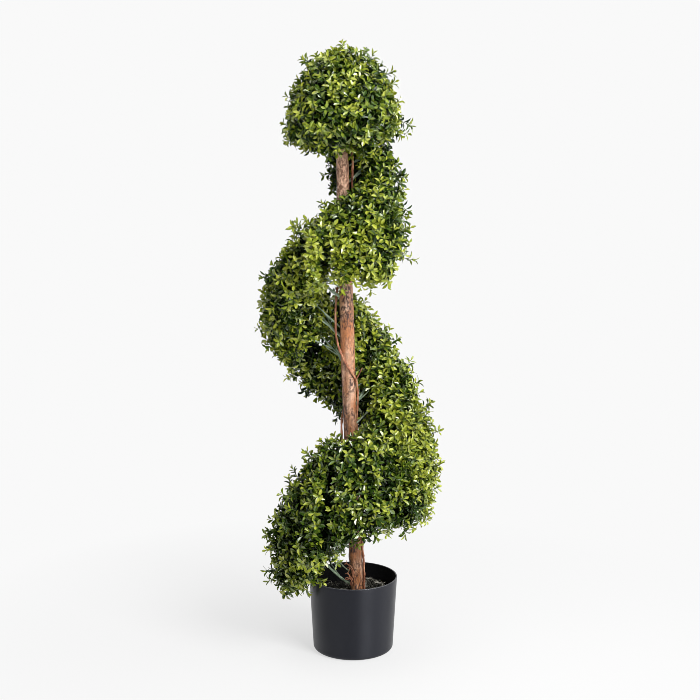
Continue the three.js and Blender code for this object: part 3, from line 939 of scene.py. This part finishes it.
# %% Skins of the masses
TIP_SPACING = 18 * MM
SPRINKLED = 5  # points sprinkled on each square of one spacing, before they are thinned
JOINT_DEPTH = 9 * MM  # a point this near to another mass is where the two meet
POLE_CLEAR = 9 * MM  # and one this near to the pole's surface carries no shoot


def skin_of(name, spacing, seed):
    """Evenly spaced points on the free skin of a mass, with the outward normal at each."""
    rng = np.random.default_rng(seed)
    corners = node_triangles(name)
    area = np.linalg.norm(face_cross(corners), axis=1).sum() / 2
    points, normals = scattered(corners, int(SPRINKLED * area / spacing ** 2), rng)
    others = [TREES[other] for other in MASSES if other != name]
    free = np.array([all(tree.find_nearest(point, JOINT_DEPTH)[0] is None for tree in others)
                     for point in points.tolist()])
    from_pole = np.linalg.norm((points - pole_axis(points[:, 2]))[:, :2], axis=1)
    from_pole -= pole_radius(points[:, 2])
    free &= (from_pole > POLE_CLEAR) | (points[:, 2] > axis_heights[-1])
    points, normals = points[free], normals[free]
    keep = thinned(points, spacing)
    return points[keep], normals[keep]


SKINS = {name: skin_of(name, TIP_SPACING, 100 + number) for number, name in enumerate(MASSES)}
print("shoot tips:", sum(len(points) for points, _ in SKINS.values()), "on the skin")

# %% Layers under the skin
# spacing, least depth and most depth of each layer
INNER_LAYERS = np.array([(17, 9, 19), (17, 21, 33), (20, 34, 50)]) * MM


def inner_tips(name, seed):
    """Tips under the skin, layer by layer: points and normals of the skin, and depths under it."""
    rng = np.random.default_rng(seed)
    layers = []
    for number, (spacing, least, most) in enumerate(INNER_LAYERS):
        points, normals = skin_of(name, spacing, seed + 20 * number)
        layers.append((points, normals, rng.uniform(least, most, (len(points), 1))))
    return [np.concatenate(parts) for parts in zip(*layers)]


# %% [markdown]
# ## Boughs and branches
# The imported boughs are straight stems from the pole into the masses. Here each is drawn again as a
# round plastic-coated stem with a slight bow, a thinner one beside it, and forked branches that
# grow on from their ends. A tree with fixed angles would leave parts of a mass empty. So the rule
# is the one that plants follow when they fill a space: of all the places still to be reached, the
# nearest one is joined to the closest part that already grows, until every place has a branch.


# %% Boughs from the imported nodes
def bough_ends(name):
    """The root, at the pole, and the tip of a packed bough: the ends of its longest direction."""
    points = np.unique(node_points(name).round(6), axis=0)
    middle = points.mean(0)
    along = np.linalg.svd(points - middle, full_matrices=False)[2][0]
    reach = (points - middle) @ along
    ends = middle + along * reach.min(), middle + along * reach.max()
    away = [np.linalg.norm((end - pole_axis(end[2:3])[0])[:2]) for end in ends]
    return ends if away[0] < away[1] else ends[::-1]


BOUGHS = {name: bough_ends(name) for name in sorted(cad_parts) if name.startswith("bough_")}
BOUGH_STEPS = 14
TINE_STEPS = 8
COMPANION_RISE = 21 * MM  # how far above its bough the thinner stem leaves the pole
SAG = 0.12  # of a stem's length
TINE_SPREAD = 0.55  # how far aside a tine goes for each step ahead
TINES = ((4, 1), (6, -1))  # the step of the stem at which each starts, and its side


def stem_lines():
    """Paths of the stems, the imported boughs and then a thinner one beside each, and of the tines.

    A stem runs straight from the pole to its tip, less a sag of an eighth of its length. A tine
    leaves it at about 30 degrees to one side, and is nearly half as long.
    """
    rng = np.random.default_rng(41)
    roots, tips = (np.array([ends[k] for ends in BOUGHS.values()]) for k in (0, 1))
    across = np.cross(UP, unit((tips - roots) * [1, 1, 0]))
    lift = UP * (COMPANION_RISE + rng.normal(0, 4 * MM, (len(BOUGHS), 1)))
    splay = across * rng.uniform(5, 30, (len(BOUGHS), 1)) * MM
    splay = splay + rng.normal(0, 7 * MM, splay.shape)
    roots, tips = np.concatenate([roots, roots + lift]), np.concatenate([tips, tips + lift + splay])
    along = unit(tips - roots)
    length = np.linalg.norm(tips - roots, axis=1, keepdims=True)
    bow = length * SAG * UP + rng.normal(0, 2 * MM, roots.shape)
    stems = bezier(roots - along * 3 * MM, roots + along * length * 0.35 - bow,
                   roots + along * length * 0.7 - bow * 0.5, tips, BOUGH_STEPS)
    tines = []
    for step, keeps_to in TINES:
        start = stems[:, step]
        aside = keeps_to * TINE_SPREAD * unit(np.cross(along, UP))
        way = unit(along + aside + rng.normal(0, 0.12, along.shape))
        end = start + way * length * rng.uniform(0.4, 0.55, (len(start), 1))
        third = (end - start) / 3
        tines.append(bezier(start, start + third - 2 * MM * UP, end - third - 1 * MM * UP, end,
                            TINE_STEPS))
    return stems, np.concatenate(tines)


STEM_LINES, TINE_LINES = stem_lines()
print("boughs:", len(BOUGHS), "stems:", len(STEM_LINES), "tines:", len(TINE_LINES))

# %% Branches that fill each mass
PLACE_DEPTH = 30 * MM
PLACE_SPACING = 31 * MM
LEAST_COVER = 0.45  # of PLACE_DEPTH: a place nearer to any part of the skin is left out
PATH_WEIGHT = 0.25


def places_inside(name, seed):
    """Evenly spaced places inside a mass, about PLACE_DEPTH under its skin."""
    rng = np.random.default_rng(seed)
    points, normals = SKINS[name]
    depth = PLACE_DEPTH * rng.uniform(0.75, 1.5, (len(points), 1))
    inside = points - normals * depth
    tree = TREES[name]
    kept = []
    for place in inside.tolist():
        near, normal, _, distance = tree.find_nearest(place)
        if distance > LEAST_COVER * PLACE_DEPTH and (Vector(place) - near).dot(normal) < 0:
            kept.append(place)
    kept = np.array(kept)
    return kept[thinned(kept, PLACE_SPACING)]


def branch_tree(places, roots):
    """Joins every place to the growing tree, and gives the points and each one's parent.

    At each turn the ungrown place with the least cost is joined to the tree, where the cost of a
    joint is its length plus a quarter of the way back from there to the pole, so that branches
    spread like a fan.
    """
    points = np.concatenate([roots, places])
    parents = np.full(len(points), -1)
    path = np.zeros(len(points))
    best = np.full(len(places), np.inf)
    parent = np.zeros(len(places), int)
    fresh = list(range(len(roots)))
    left = np.ones(len(places), bool)
    while left.any():
        for stem in fresh:
            cost = np.linalg.norm(places - points[stem], axis=1) + PATH_WEIGHT * path[stem]
            nearer = cost < best
            best[nearer], parent[nearer] = cost[nearer], stem
        pick = np.where(left, best, np.inf).argmin()
        new = len(roots) + pick
        parents[new] = parent[pick]
        path[new] = path[parent[pick]] + np.linalg.norm(places[pick] - points[parent[pick]])
        left[pick] = False
        fresh = [new]
    return points, parents


places = np.concatenate([places_inside(name, 200 + number) for number, name in enumerate(MASSES)])
STEMS, PARENTS = branch_tree(places, np.concatenate([STEM_LINES[:, -1], TINE_LINES[:, -1]]))
print("branches:", (PARENTS >= 0).sum())


# %% Stems as tubes
def stem_material():
    """Bluish green plastic over wire, satin, with the faint mould lines of its coat."""
    material, nodes, links, shader = node_material("stem plastic", (0.10, 0.19, 0.12), 0.45)
    tint = add_noise(nodes, links, 45, detail=3)
    paint(nodes, links, shader, tint, [
        (0.35, (0.17, 0.25, 0.16)), (0.55, (0.32, 0.42, 0.29)), (0.75, (0.48, 0.57, 0.43))])
    add_bump(nodes, links, shader, add_noise(nodes, links, 400, detail=2), 0.15, 0.6)
    return material


STEM = stem_material()


def tapered(paths, first, last, sides):
    """Tubes along paths, from radius first to radius last, with faint moulded rings."""
    steps = paths.shape[1]
    radii = np.linspace(first, last, steps) * (1 + 0.08 * np.sin(np.linspace(0, 25, steps)))
    return tubes(paths, np.repeat(radii[None], len(paths), 0), sides)


main, beside = STEM_LINES[:len(BOUGHS)], STEM_LINES[len(BOUGHS):]
sets = [tapered(main, 2.9 * MM, 1.9 * MM, 10), tapered(beside, 1.6 * MM, 1.3 * MM, 8),
        tapered(TINE_LINES, 1.5 * MM, 1.1 * MM, 7)]
points = np.concatenate([part for part, _ in sets])
starts = np.cumsum([0] + [len(part) for part, _ in sets])
faces = np.concatenate([part + start for (_, part), start in zip(sets, starts)])
boughs = new_piece("boughs", points, faces, [STEM])
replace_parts(boughs, *BOUGHS)
print("boughs:", len(faces), "triangles")

# %% Branches as tubes
BRANCH_STEPS = 7
THICKEST_BRANCH = 1.8  # mm of radius


def branch_tubes():
    """Every joint of every branch as a tube, thicker where more of the tree hangs on it."""
    load = np.zeros(len(STEMS))
    above = np.arange(len(STEMS))
    while (above >= 0).any():
        np.add.at(load, above[above >= 0], 1)
        above = np.where(above >= 0, PARENTS[above], -1)
    child = np.flatnonzero(PARENTS >= 0)
    starts, ends = STEMS[PARENTS[child]], STEMS[child]
    thick = np.minimum(0.75 + 0.28 * np.sqrt(load[child]), THICKEST_BRANCH) * MM
    rng = np.random.default_rng(42)
    bend = rng.normal(0, 0.09, starts.shape) * np.linalg.norm(ends - starts, axis=1, keepdims=True)
    third = starts * 0.67 + ends * 0.33 + bend
    two_thirds = starts * 0.33 + ends * 0.67 + bend
    paths = bezier(starts, third, two_thirds, ends, BRANCH_STEPS)
    radii = thick[:, None] * np.linspace(1.05, 0.9, BRANCH_STEPS)[None]
    return tubes(paths, radii, 6)


points, faces = branch_tubes()
new_piece("branches", points, faces, [STEM])
print("branches:", len(faces), "triangles")

# %% [markdown]
# ## Shoots
# The real sprays are moulded shoots, clipped over the ends of the stems. One shoot could be copied
# all over, but it would hang in the air wherever no branch ends. Here each runs from a branch near
# by to its own tip point, and turns to face away from the mass and a little upwards, as shoots turn
# to the light. A random part in the direction keeps the skin from looking combed, and a random
# length lets some tips stand proud and others stay back, which gives the fuzzy outline of the real
# plant.

# %% Hills and hollows of the skin
WAVES = 24
TIP_DEPTH = 6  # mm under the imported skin, on average
TIP_SPREAD = 4  # mm
HILL_HEIGHT = 4.0  # mm
HILL_SIZE = 42 * MM
HANG = 4  # mm that a tip stands further out where the skin faces down
MOST_PROUD = 16  # mm
LONE_SHARE = 0.13
LONE_BELOW_TOP = 25 * MM  # no lone shoot stands higher than this under the plant's top


def clumps(points, size, seed):
    """A smooth random field over space, of mean 0 and spread 1, whose hills are about size across.

    It is the sum of cosines of the place along WAVES random directions, each with a random phase.
    """
    rng = np.random.default_rng(seed)
    waves = unit(rng.normal(size=(WAVES, 3))) * rng.uniform(0.7, 1.4, (WAVES, 1)) * np.pi / size
    phases = rng.uniform(0, 2 * np.pi, WAVES)
    return np.cos(points @ waves.T + phases).sum(1, keepdims=True) * math.sqrt(2 / WAVES)


def how_proud(rng, points, normals):
    """How far each tip stands out of the skin: mostly a little inside it, in hills and hollows.

    It is more where the skin hangs. A few lone shoots missed the shears and stand well out.
    """
    hang = np.clip(-normals[:, 2:], 0, 1)
    hills = HILL_HEIGHT * clumps(points, HILL_SIZE, 51)
    proud = rng.normal(-TIP_DEPTH, TIP_SPREAD, (len(normals), 1)) + hills + HANG * hang
    low_enough = points[:, 2:] < cad_box[1].z - LONE_BELOW_TOP
    lone = (rng.random((len(normals), 1)) < LONE_SHARE) & low_enough
    proud = np.where(lone, rng.uniform(4, 15, proud.shape) + 3 * hang, proud)
    return proud.clip(-MOST_PROUD, MOST_PROUD) * MM, lone[:, 0]


# %% Shoots
SHOOT_STEPS = 7
# the skin has a hole, and its underside a gap, where a field of this size is below this level
HOLE_SIZE, HOLE_LEVEL = 30 * MM, -1.9
GAP_SIZE, GAP_LEVEL = 40 * MM, -0.8
UNDERSIDE = -0.2  # a skin whose normal points further down than this is the underside
BARE_NEAR_POLE = 38 * MM
BARE_SHARE = 0.55
BARE_BELOW = 0.80  # height in metres over which the leaves close up to the pole
SIDES_LOW = np.array(cad_box[0])[:2] - 2 * MM  # no tip stands further out than these
SIDES_HIGH = np.array(cad_box[1])[:2] + 2 * MM
SKYWARD = 0.40  # how much a shoot on top turns up
WAYWARD = 0.38  # spread of its direction
SHORTEST = 30 * MM  # a branch nearer to the tip than this costs extra
AGREEMENT = 30 * MM  # and so does one that is abreast of the tip, by this much


def shoots_of(name, seed):
    """Paths of the shoots of a mass, how far out each tip stands, and which shoots are lone.

    Next to the pole under the band, where the stems leave it, most shoots are missing. Of all
    branches, a shoot takes the one with the least cost: its length, twice what it lacks of
    SHORTEST, and up to twice AGREEMENT the less the branch lies behind the tip.
    """
    rng = np.random.default_rng(seed)
    points, normals = SKINS[name]
    child = np.flatnonzero(PARENTS >= 0)
    stems = np.concatenate([STEMS, (STEMS[child] + STEMS[PARENTS[child]]) / 2])
    kept = clumps(points, HOLE_SIZE, 52)[:, 0] > HOLE_LEVEL
    points, normals = points[kept], normals[kept]
    proud, lone = how_proud(rng, points, normals)
    inner_points, inner_normals, depth = inner_tips(name, seed + 200)
    points = np.concatenate([points, inner_points])
    normals = np.concatenate([normals, inner_normals])
    proud, lone = np.concatenate([proud, -depth]), np.append(lone, np.zeros(len(depth), bool))
    tips = points + normals * proud
    tips[:, :2] = tips[:, :2].clip(SIDES_LOW, SIDES_HIGH)
    from_pole = np.linalg.norm((tips - pole_axis(tips[:, 2]))[:, :2], axis=1)
    bare = (from_pole < BARE_NEAR_POLE) & (normals[:, 2] < 0) & (rng.random(len(tips)) < BARE_SHARE)
    bare &= tips[:, 2] < BARE_BELOW
    bare |= (normals[:, 2] < UNDERSIDE) & (clumps(tips, GAP_SIZE, 54)[:, 0] < GAP_LEVEL)
    tips, normals, proud, lone = tips[~bare], normals[~bare], proud[~bare], lone[~bare]
    lift = SKYWARD * (1 + normals[:, 2:]) / 2
    facing = unit(normals + UP * lift + rng.normal(0, WAYWARD, normals.shape))
    gap = tips[:, None] - stems[None]
    length = np.linalg.norm(gap, axis=2)
    agree = (gap * facing[:, None]).sum(2) / np.maximum(length, 1e-6)
    cost = length + np.maximum(0, SHORTEST - length) * 2 + AGREEMENT * (1 - agree)
    nearest = cost.argmin(1)
    roots = stems[nearest]
    length = np.linalg.norm(tips - roots, axis=1, keepdims=True)
    first = roots + unit(tips - roots) * length * 0.3 + rng.normal(0, 0.06, roots.shape) * length
    second = tips - facing * length * 0.42
    return bezier(roots, first, second, tips, SHOOT_STEPS), proud[:, 0], lone


SHOOTS = {name: shoots_of(name, 300 + number) for number, name in enumerate(MASSES)}
print("shoots:", sum(len(paths) for paths, _, _ in SHOOTS.values()))


# %% Shoots as tubes
def twig_material():
    """Yellow-green soft plastic of the shoots."""
    material, nodes, links, shader = node_material("twig plastic", (0.10, 0.14, 0.03), 0.5)
    add_bump(nodes, links, shader, add_noise(nodes, links, 500, detail=2), 0.1, 0.5)
    return material


TWIG = twig_material()
for half, names in (("low", MASSES[:4]), ("high", MASSES[4:])):
    paths = np.concatenate([SHOOTS[name][0] for name in names])
    radii = np.repeat(np.linspace(0.9, 0.45, SHOOT_STEPS)[None] * MM, len(paths), 0)
    points, faces = tubes(paths, radii, 4)
    new_piece("twigs_" + half, points, faces, [TWIG])
    print("twigs", half + ":", len(faces), "triangles")

# %% [markdown]
# ## One leaf
# Box leaves are small ovals, broadest past the middle, with a short stalk. The blade folds a little
# along its midrib and bends back towards its tip. A flat card with a picture of a leaf would miss
# the fold, which splits the light on each leaf. Eleven points on three lines, left edge, midrib and
# right edge, are enough for it, and keep the count of faces low, since the plant has tens of
# thousands of leaves.

# %% The leaf's grid
# places along the leaf, and half of its width there as a share of the greatest
LEAF_ROWS = np.array([0.0, 0.26, 0.56, 0.82, 1.0])
LEAF_HALF_WIDTHS = np.array([0.0, 0.64, 1.0, 0.70, 0.0])
LEAF_LENGTH = 14.3 * MM
LEAF_WIDTH = 6.8 * MM


def leaf_shape():
    """Places on a leaf, from 0 to 1 along it and from -0.5 to 0.5 across it, and its triangles."""
    row, side = np.meshgrid(LEAF_ROWS, [-1, 0, 1], indexing="ij")
    grid = np.stack([row, 0.5 * side * LEAF_HALF_WIDTHS[:, None]], -1)
    middle = grid[1:-1].reshape(-1, 2)
    points = np.concatenate([grid[:1, 1], middle, grid[-1:, 1]])
    faces = [(0, 2, 1), (0, 3, 2)]
    for start in range(1, 7, 3):
        for step in (0, 1):
            a, b = start + step, start + step + 1
            faces += [(a, b, b + 3), (a, b + 3, a + 3)]
    faces += [(7, 8, 10), (8, 9, 10)]
    return points, np.array(faces)


LEAF_POINTS, LEAF_FACES = leaf_shape()
MIDRIB = np.abs(LEAF_POINTS[:, 1]) < 0.001
FACE_MIDDLES = LEAF_POINTS[LEAF_FACES].mean(1)
AT_STALK = FACE_MIDDLES[:, 0] < 0.3
LEFT_HALF = FACE_MIDDLES[:, 1] < 0
# each leaf takes one of these rows, where 1 marks the faces painted a tone darker as shade: the
# stalk end, which the leaves round it shade, and in two rows of three one half as well, as if the
# fold turned it from the light
PAINTED_LEAF_SHADE = np.array([AT_STALK, AT_STALK | LEFT_HALF, AT_STALK | ~LEFT_HALF]).astype(int)
print("leaf:", len(LEAF_POINTS), "points,", len(LEAF_FACES), "triangles")


def crease_midribs(piece):
    """Marks every leaf's midrib as a sharp edge, so that its halves catch the light apart."""
    edges = piece.data.edges
    ends = np.zeros(len(edges) * 2, np.int32)
    edges.foreach_get("vertices", ends)
    on_midrib = MIDRIB[ends.reshape(-1, 2) % len(LEAF_POINTS)].all(1)
    piece.data.attributes.new("sharp_edge", "BOOLEAN", "EDGE").data.foreach_set("value", on_midrib)


# %% [markdown]
# ## Leaf colours
# The moulded leaves come in a few plain greens: young lime leaves at the tips, and fresh and mid
# green along the shoots. The deep green inside is old leaves and painted shade, as leaves darken
# with depth under the skin. A colour pattern in space would cut across leaves, and a real leaf is
# one colour. So each green is one plain material with a soft gloss, and they are dealt out by shoot,
# by the place of a leaf along it and by its depth. The stalk end and often one half of a leaf are a
# tone darker, as painted shade. A faint bump keeps the gloss from looking like glass.


# %% Leaf materials
def leaf_material(name, color, roughness, gloss):
    """Glossy leaf plastic of one plain colour, with shallow dimples."""
    material, nodes, links, shader = node_material("leaf " + name, color, roughness)
    shader.inputs["Specular IOR Level"].default_value = gloss
    add_bump(nodes, links, shader, add_noise(nodes, links, 520, detail=2), 0.35, 0.6)
    return material


# name, colour, roughness and gloss of each tone, from the darkest, for old leaves and for painted
# shade deep inside, to the lightest for the youngest
LEAF_TONES = [
    ("deep", (0.0075, 0.022, 0.002), 0.30, 0.25),
    ("dark", (0.024, 0.058, 0.005), 0.25, 0.45),
    ("mid", (0.064, 0.116, 0.009), 0.22, 0.8),
    ("olive", (0.136, 0.192, 0.014), 0.21, 1.0),
    ("fresh", (0.232, 0.292, 0.022), 0.21, 1.0),
    ("lime", (0.385, 0.425, 0.045), 0.21, 1.0),
]
LEAF_MATERIALS = [leaf_material(*tone) for tone in LEAF_TONES]
LIGHTEST = len(LEAF_TONES) - 1
print("leaf tones:", ", ".join(tone[0] for tone in LEAF_TONES))

# %% [markdown]
# ## Leaves on the shoots
# Leaves stand in opposite pairs, and each pair is turned a quarter against the last. The youngest
# pairs at the tip are small and close up round the shoot like a bud, and older ones open out and
# reach full length. A particle system could scatter leaves, but it knows no pairs. So each leaf's
# axes are worked out from its shoot's tangent, for all the leaves of a mass at once.

# %% Places along a shoot
# for each pair from the tip down: how far back it stands, how far it opens in degrees, its share of
# full size, and how many tones darker it is than the tip
PAIR_PLACES = np.array([0, 3.2, 7.2, 13, 20, 28, 37]) * MM
PAIR_OPENINGS = np.array([36, 60, 72, 70, 68, 68, 70])
PAIR_SIZES = np.array([0.78, 0.98, 1.05, 1.0, 1.0, 0.96, 0.92])
PAIR_AGES = np.array([0.0, 0.3, 1.3, 2.4, 3.3, 4.0, 4.4])
PAIRS = len(PAIR_PLACES)
TIP_GAP = 1.2 * MM
LEAFY_SHARE = 0.92  # of a shoot's length; nearer to its root it is bare


def along_path(paths, back):
    """Points and tangents on each path at distances back from its tip, and which are on it.

    Between two steps of the path, the point is a + share * (b - a).
    """
    steps = np.linalg.norm(np.diff(paths, axis=1), axis=2)
    from_tip = np.concatenate([np.zeros((len(paths), 1)), np.cumsum(steps[:, ::-1], 1)], 1)
    backwards = paths[:, ::-1]
    limited = np.minimum(back, LEAFY_SHARE * from_tip[:, -1:])
    passed = (limited[:, :, None] >= from_tip[:, None, :]).sum(2)
    segment = np.clip(passed - 1, 0, paths.shape[1] - 2)
    pick = np.arange(len(paths))[:, None]
    a, b = backwards[pick, segment], backwards[pick, segment + 1]
    start, end = from_tip[pick, segment], from_tip[pick, segment + 1]
    share = ((limited - start) / np.maximum(end - start, 1e-9))[..., None]
    return a + share * (b - a), unit(a - b), back <= LEAFY_SHARE * from_tip[:, -1:]


# %% Ages of shoots, painted shade and tones of leaves
TIP_TONE = 5.23  # number in LEAF_TONES of the tip leaves on a shoot of no age
SHOOT_AGES = 0.8  # spread of age between neighbouring shoots, in tones
# how far the leaves' tone varies over space, in tones, how large its lighter and darker patches are,
# and the seed
TONE_FIELDS = ((0.5, 60 * MM, 53), (0.6, 250 * MM, 2658), (0.38, 200 * MM, 7973))
DEPTH_SHADE = 0.085  # tones of painted shade for each mm under the skin
LONE_DARKENING = 14 * MM  # a lone shoot's leaves are painted as dark as those of one that much deeper


def leaf_tones(rng, tips, proud):
    """The tone of each leaf: shoots are darker or lighter at random and in broad patches, leaves
    darken from tip to base, and shoots deep under the skin are darker as painted shade.

    It is TIP_TONE less that darkening of the shoot and of the pair on it, and a little at random.
    """
    age_and_shade = rng.normal(0, SHOOT_AGES, (len(tips), 1, 1))
    for amount, size, seed in TONE_FIELDS:
        age_and_shade += amount * clumps(tips, size, seed)[..., None]
    # painted shade: the deeper a shoot's tip lies under the skin, the darker its leaves
    age_and_shade += DEPTH_SHADE * (-proud / MM).clip(-4, 60)[:, None, None]
    value = TIP_TONE - PAIR_AGES[None, :, None] - age_and_shade + rng.normal(0, 0.6, (len(tips), PAIRS, 2))
    return np.clip(np.round(value), 0, LIGHTEST).astype(int)


# %% Leaves of a mass
STALK = 0.8 * MM
LONE_SLIM = 0.8  # width and opening of a lone shoot's leaves, as shares of the others'
MISSING_SHARE = 0.03


def leaves_of(name, seed):
    """Points, triangles and tone of every leaf of a mass.

    For a leaf at angle open to its shoot's tangent t, on the side r: it points along cos(open) t +
    sin(open) r, and its upper face looks along sin(open) t - cos(open) r. Its height over that line
    is fold times the distance from the midrib, less bend times the square of the way along.
    """
    rng = np.random.default_rng(seed)
    paths, proud, lone = SHOOTS[name]
    count = len(paths)
    slim = np.where(lone, LONE_SLIM, 1.0)[:, None, None]
    number = np.arange(PAIRS)[None]
    spacing = rng.uniform(0.85, 1.15, (count, 1)) * PAIR_PLACES[None]
    back = TIP_GAP + spacing + rng.normal(0, 0.5 * MM, (count, PAIRS)).clip(-1 * MM, 1 * MM)
    place, tangent, real = along_path(paths, back)
    side = unit(np.cross(tangent, unit(rng.normal(size=(count, 1, 3)))))
    other = np.cross(tangent, side)
    turn = rng.uniform(0, np.pi, (count, 1)) + number * np.pi / 2
    turn = turn + rng.normal(0, 0.22, (count, PAIRS))
    turn = np.stack([turn, turn + np.pi], -1)[..., None]
    opening = PAIR_OPENINGS[None, :, None] * slim + rng.normal(0, 11, (count, PAIRS, 2))
    opening = np.radians(opening)[..., None]
    out = np.cos(turn) * side[:, :, None] + np.sin(turn) * other[:, :, None]
    ahead = tangent[:, :, None]
    axis = np.cos(opening) * ahead + np.sin(opening) * out
    face = np.sin(opening) * ahead - np.cos(opening) * out
    roll = rng.normal(0, 0.32, (count, PAIRS, 2, 1))
    across = np.cross(face, axis)
    face = np.cos(roll) * face + np.sin(roll) * across
    across = np.cross(face, axis)
    grown = PAIR_SIZES[None, :, None]
    size = LEAF_LENGTH * grown * rng.uniform(0.86, 1.14, (count, PAIRS, 2))
    width = LEAF_WIDTH * grown * slim * rng.uniform(0.86, 1.12, (count, PAIRS, 2))
    base = place[:, :, None] + axis * STALK
    keep = np.repeat(real[:, :, None], 2, 2) & (rng.random((count, PAIRS, 2)) > MISSING_SHARE)
    tone = leaf_tones(rng, paths[:, -1], proud - LONE_DARKENING * lone)
    axis, across, face, base = axis[keep], across[keep], face[keep], base[keep]
    size, width, tone = size[keep][:, None, None], width[keep][:, None, None], tone[keep]
    fold, bend = rng.uniform(0.25, 1.1, size.shape), rng.uniform(0.02, 0.34, size.shape)
    x, y = LEAF_POINTS[None, :, 0:1], LEAF_POINTS[None, :, 1:2]
    z = fold * width * np.abs(y) - bend * size * x ** 2
    points = base[:, None] + axis[:, None] * x * size + across[:, None] * y * width
    points = points + face[:, None] * z
    faces = LEAF_FACES[None] + (np.arange(len(base)) * len(LEAF_POINTS))[:, None, None]
    # painted shade: the stalk end, and often one half, a tone darker
    shaded = PAINTED_LEAF_SHADE[rng.integers(0, len(PAINTED_LEAF_SHADE), len(tone))]
    tones = (tone[:, None] - shaded).clip(0, LIGHTEST)
    return points.reshape(-1, 3), faces.reshape(-1, 3), tones.ravel()


# %% All the leaves
leaf_count = 0
for number, name in enumerate(MASSES):
    points, faces, tones = leaves_of(name, 400 + number)
    piece_name = "leaves_" + name.split("_")[1]
    piece = new_piece(piece_name, points, faces, LEAF_MATERIALS, tones)
    crease_midribs(piece)
    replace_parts(piece, name)
    leaf_count += len(faces) // len(LEAF_FACES)
    print(piece.name + ":", len(faces), "triangles")
print("leaves:", leaf_count)

# %% [markdown]
# ## Sizes
# Leaves may stand a little proud of the imported model, but the plant keeps its size. The packed
# model's box is printed at the end.

# %% Sizes, and the end
bpy.context.view_layer.update()
print("cad box", [tuple(round(v, 3) for v in c) for c in cad_box])
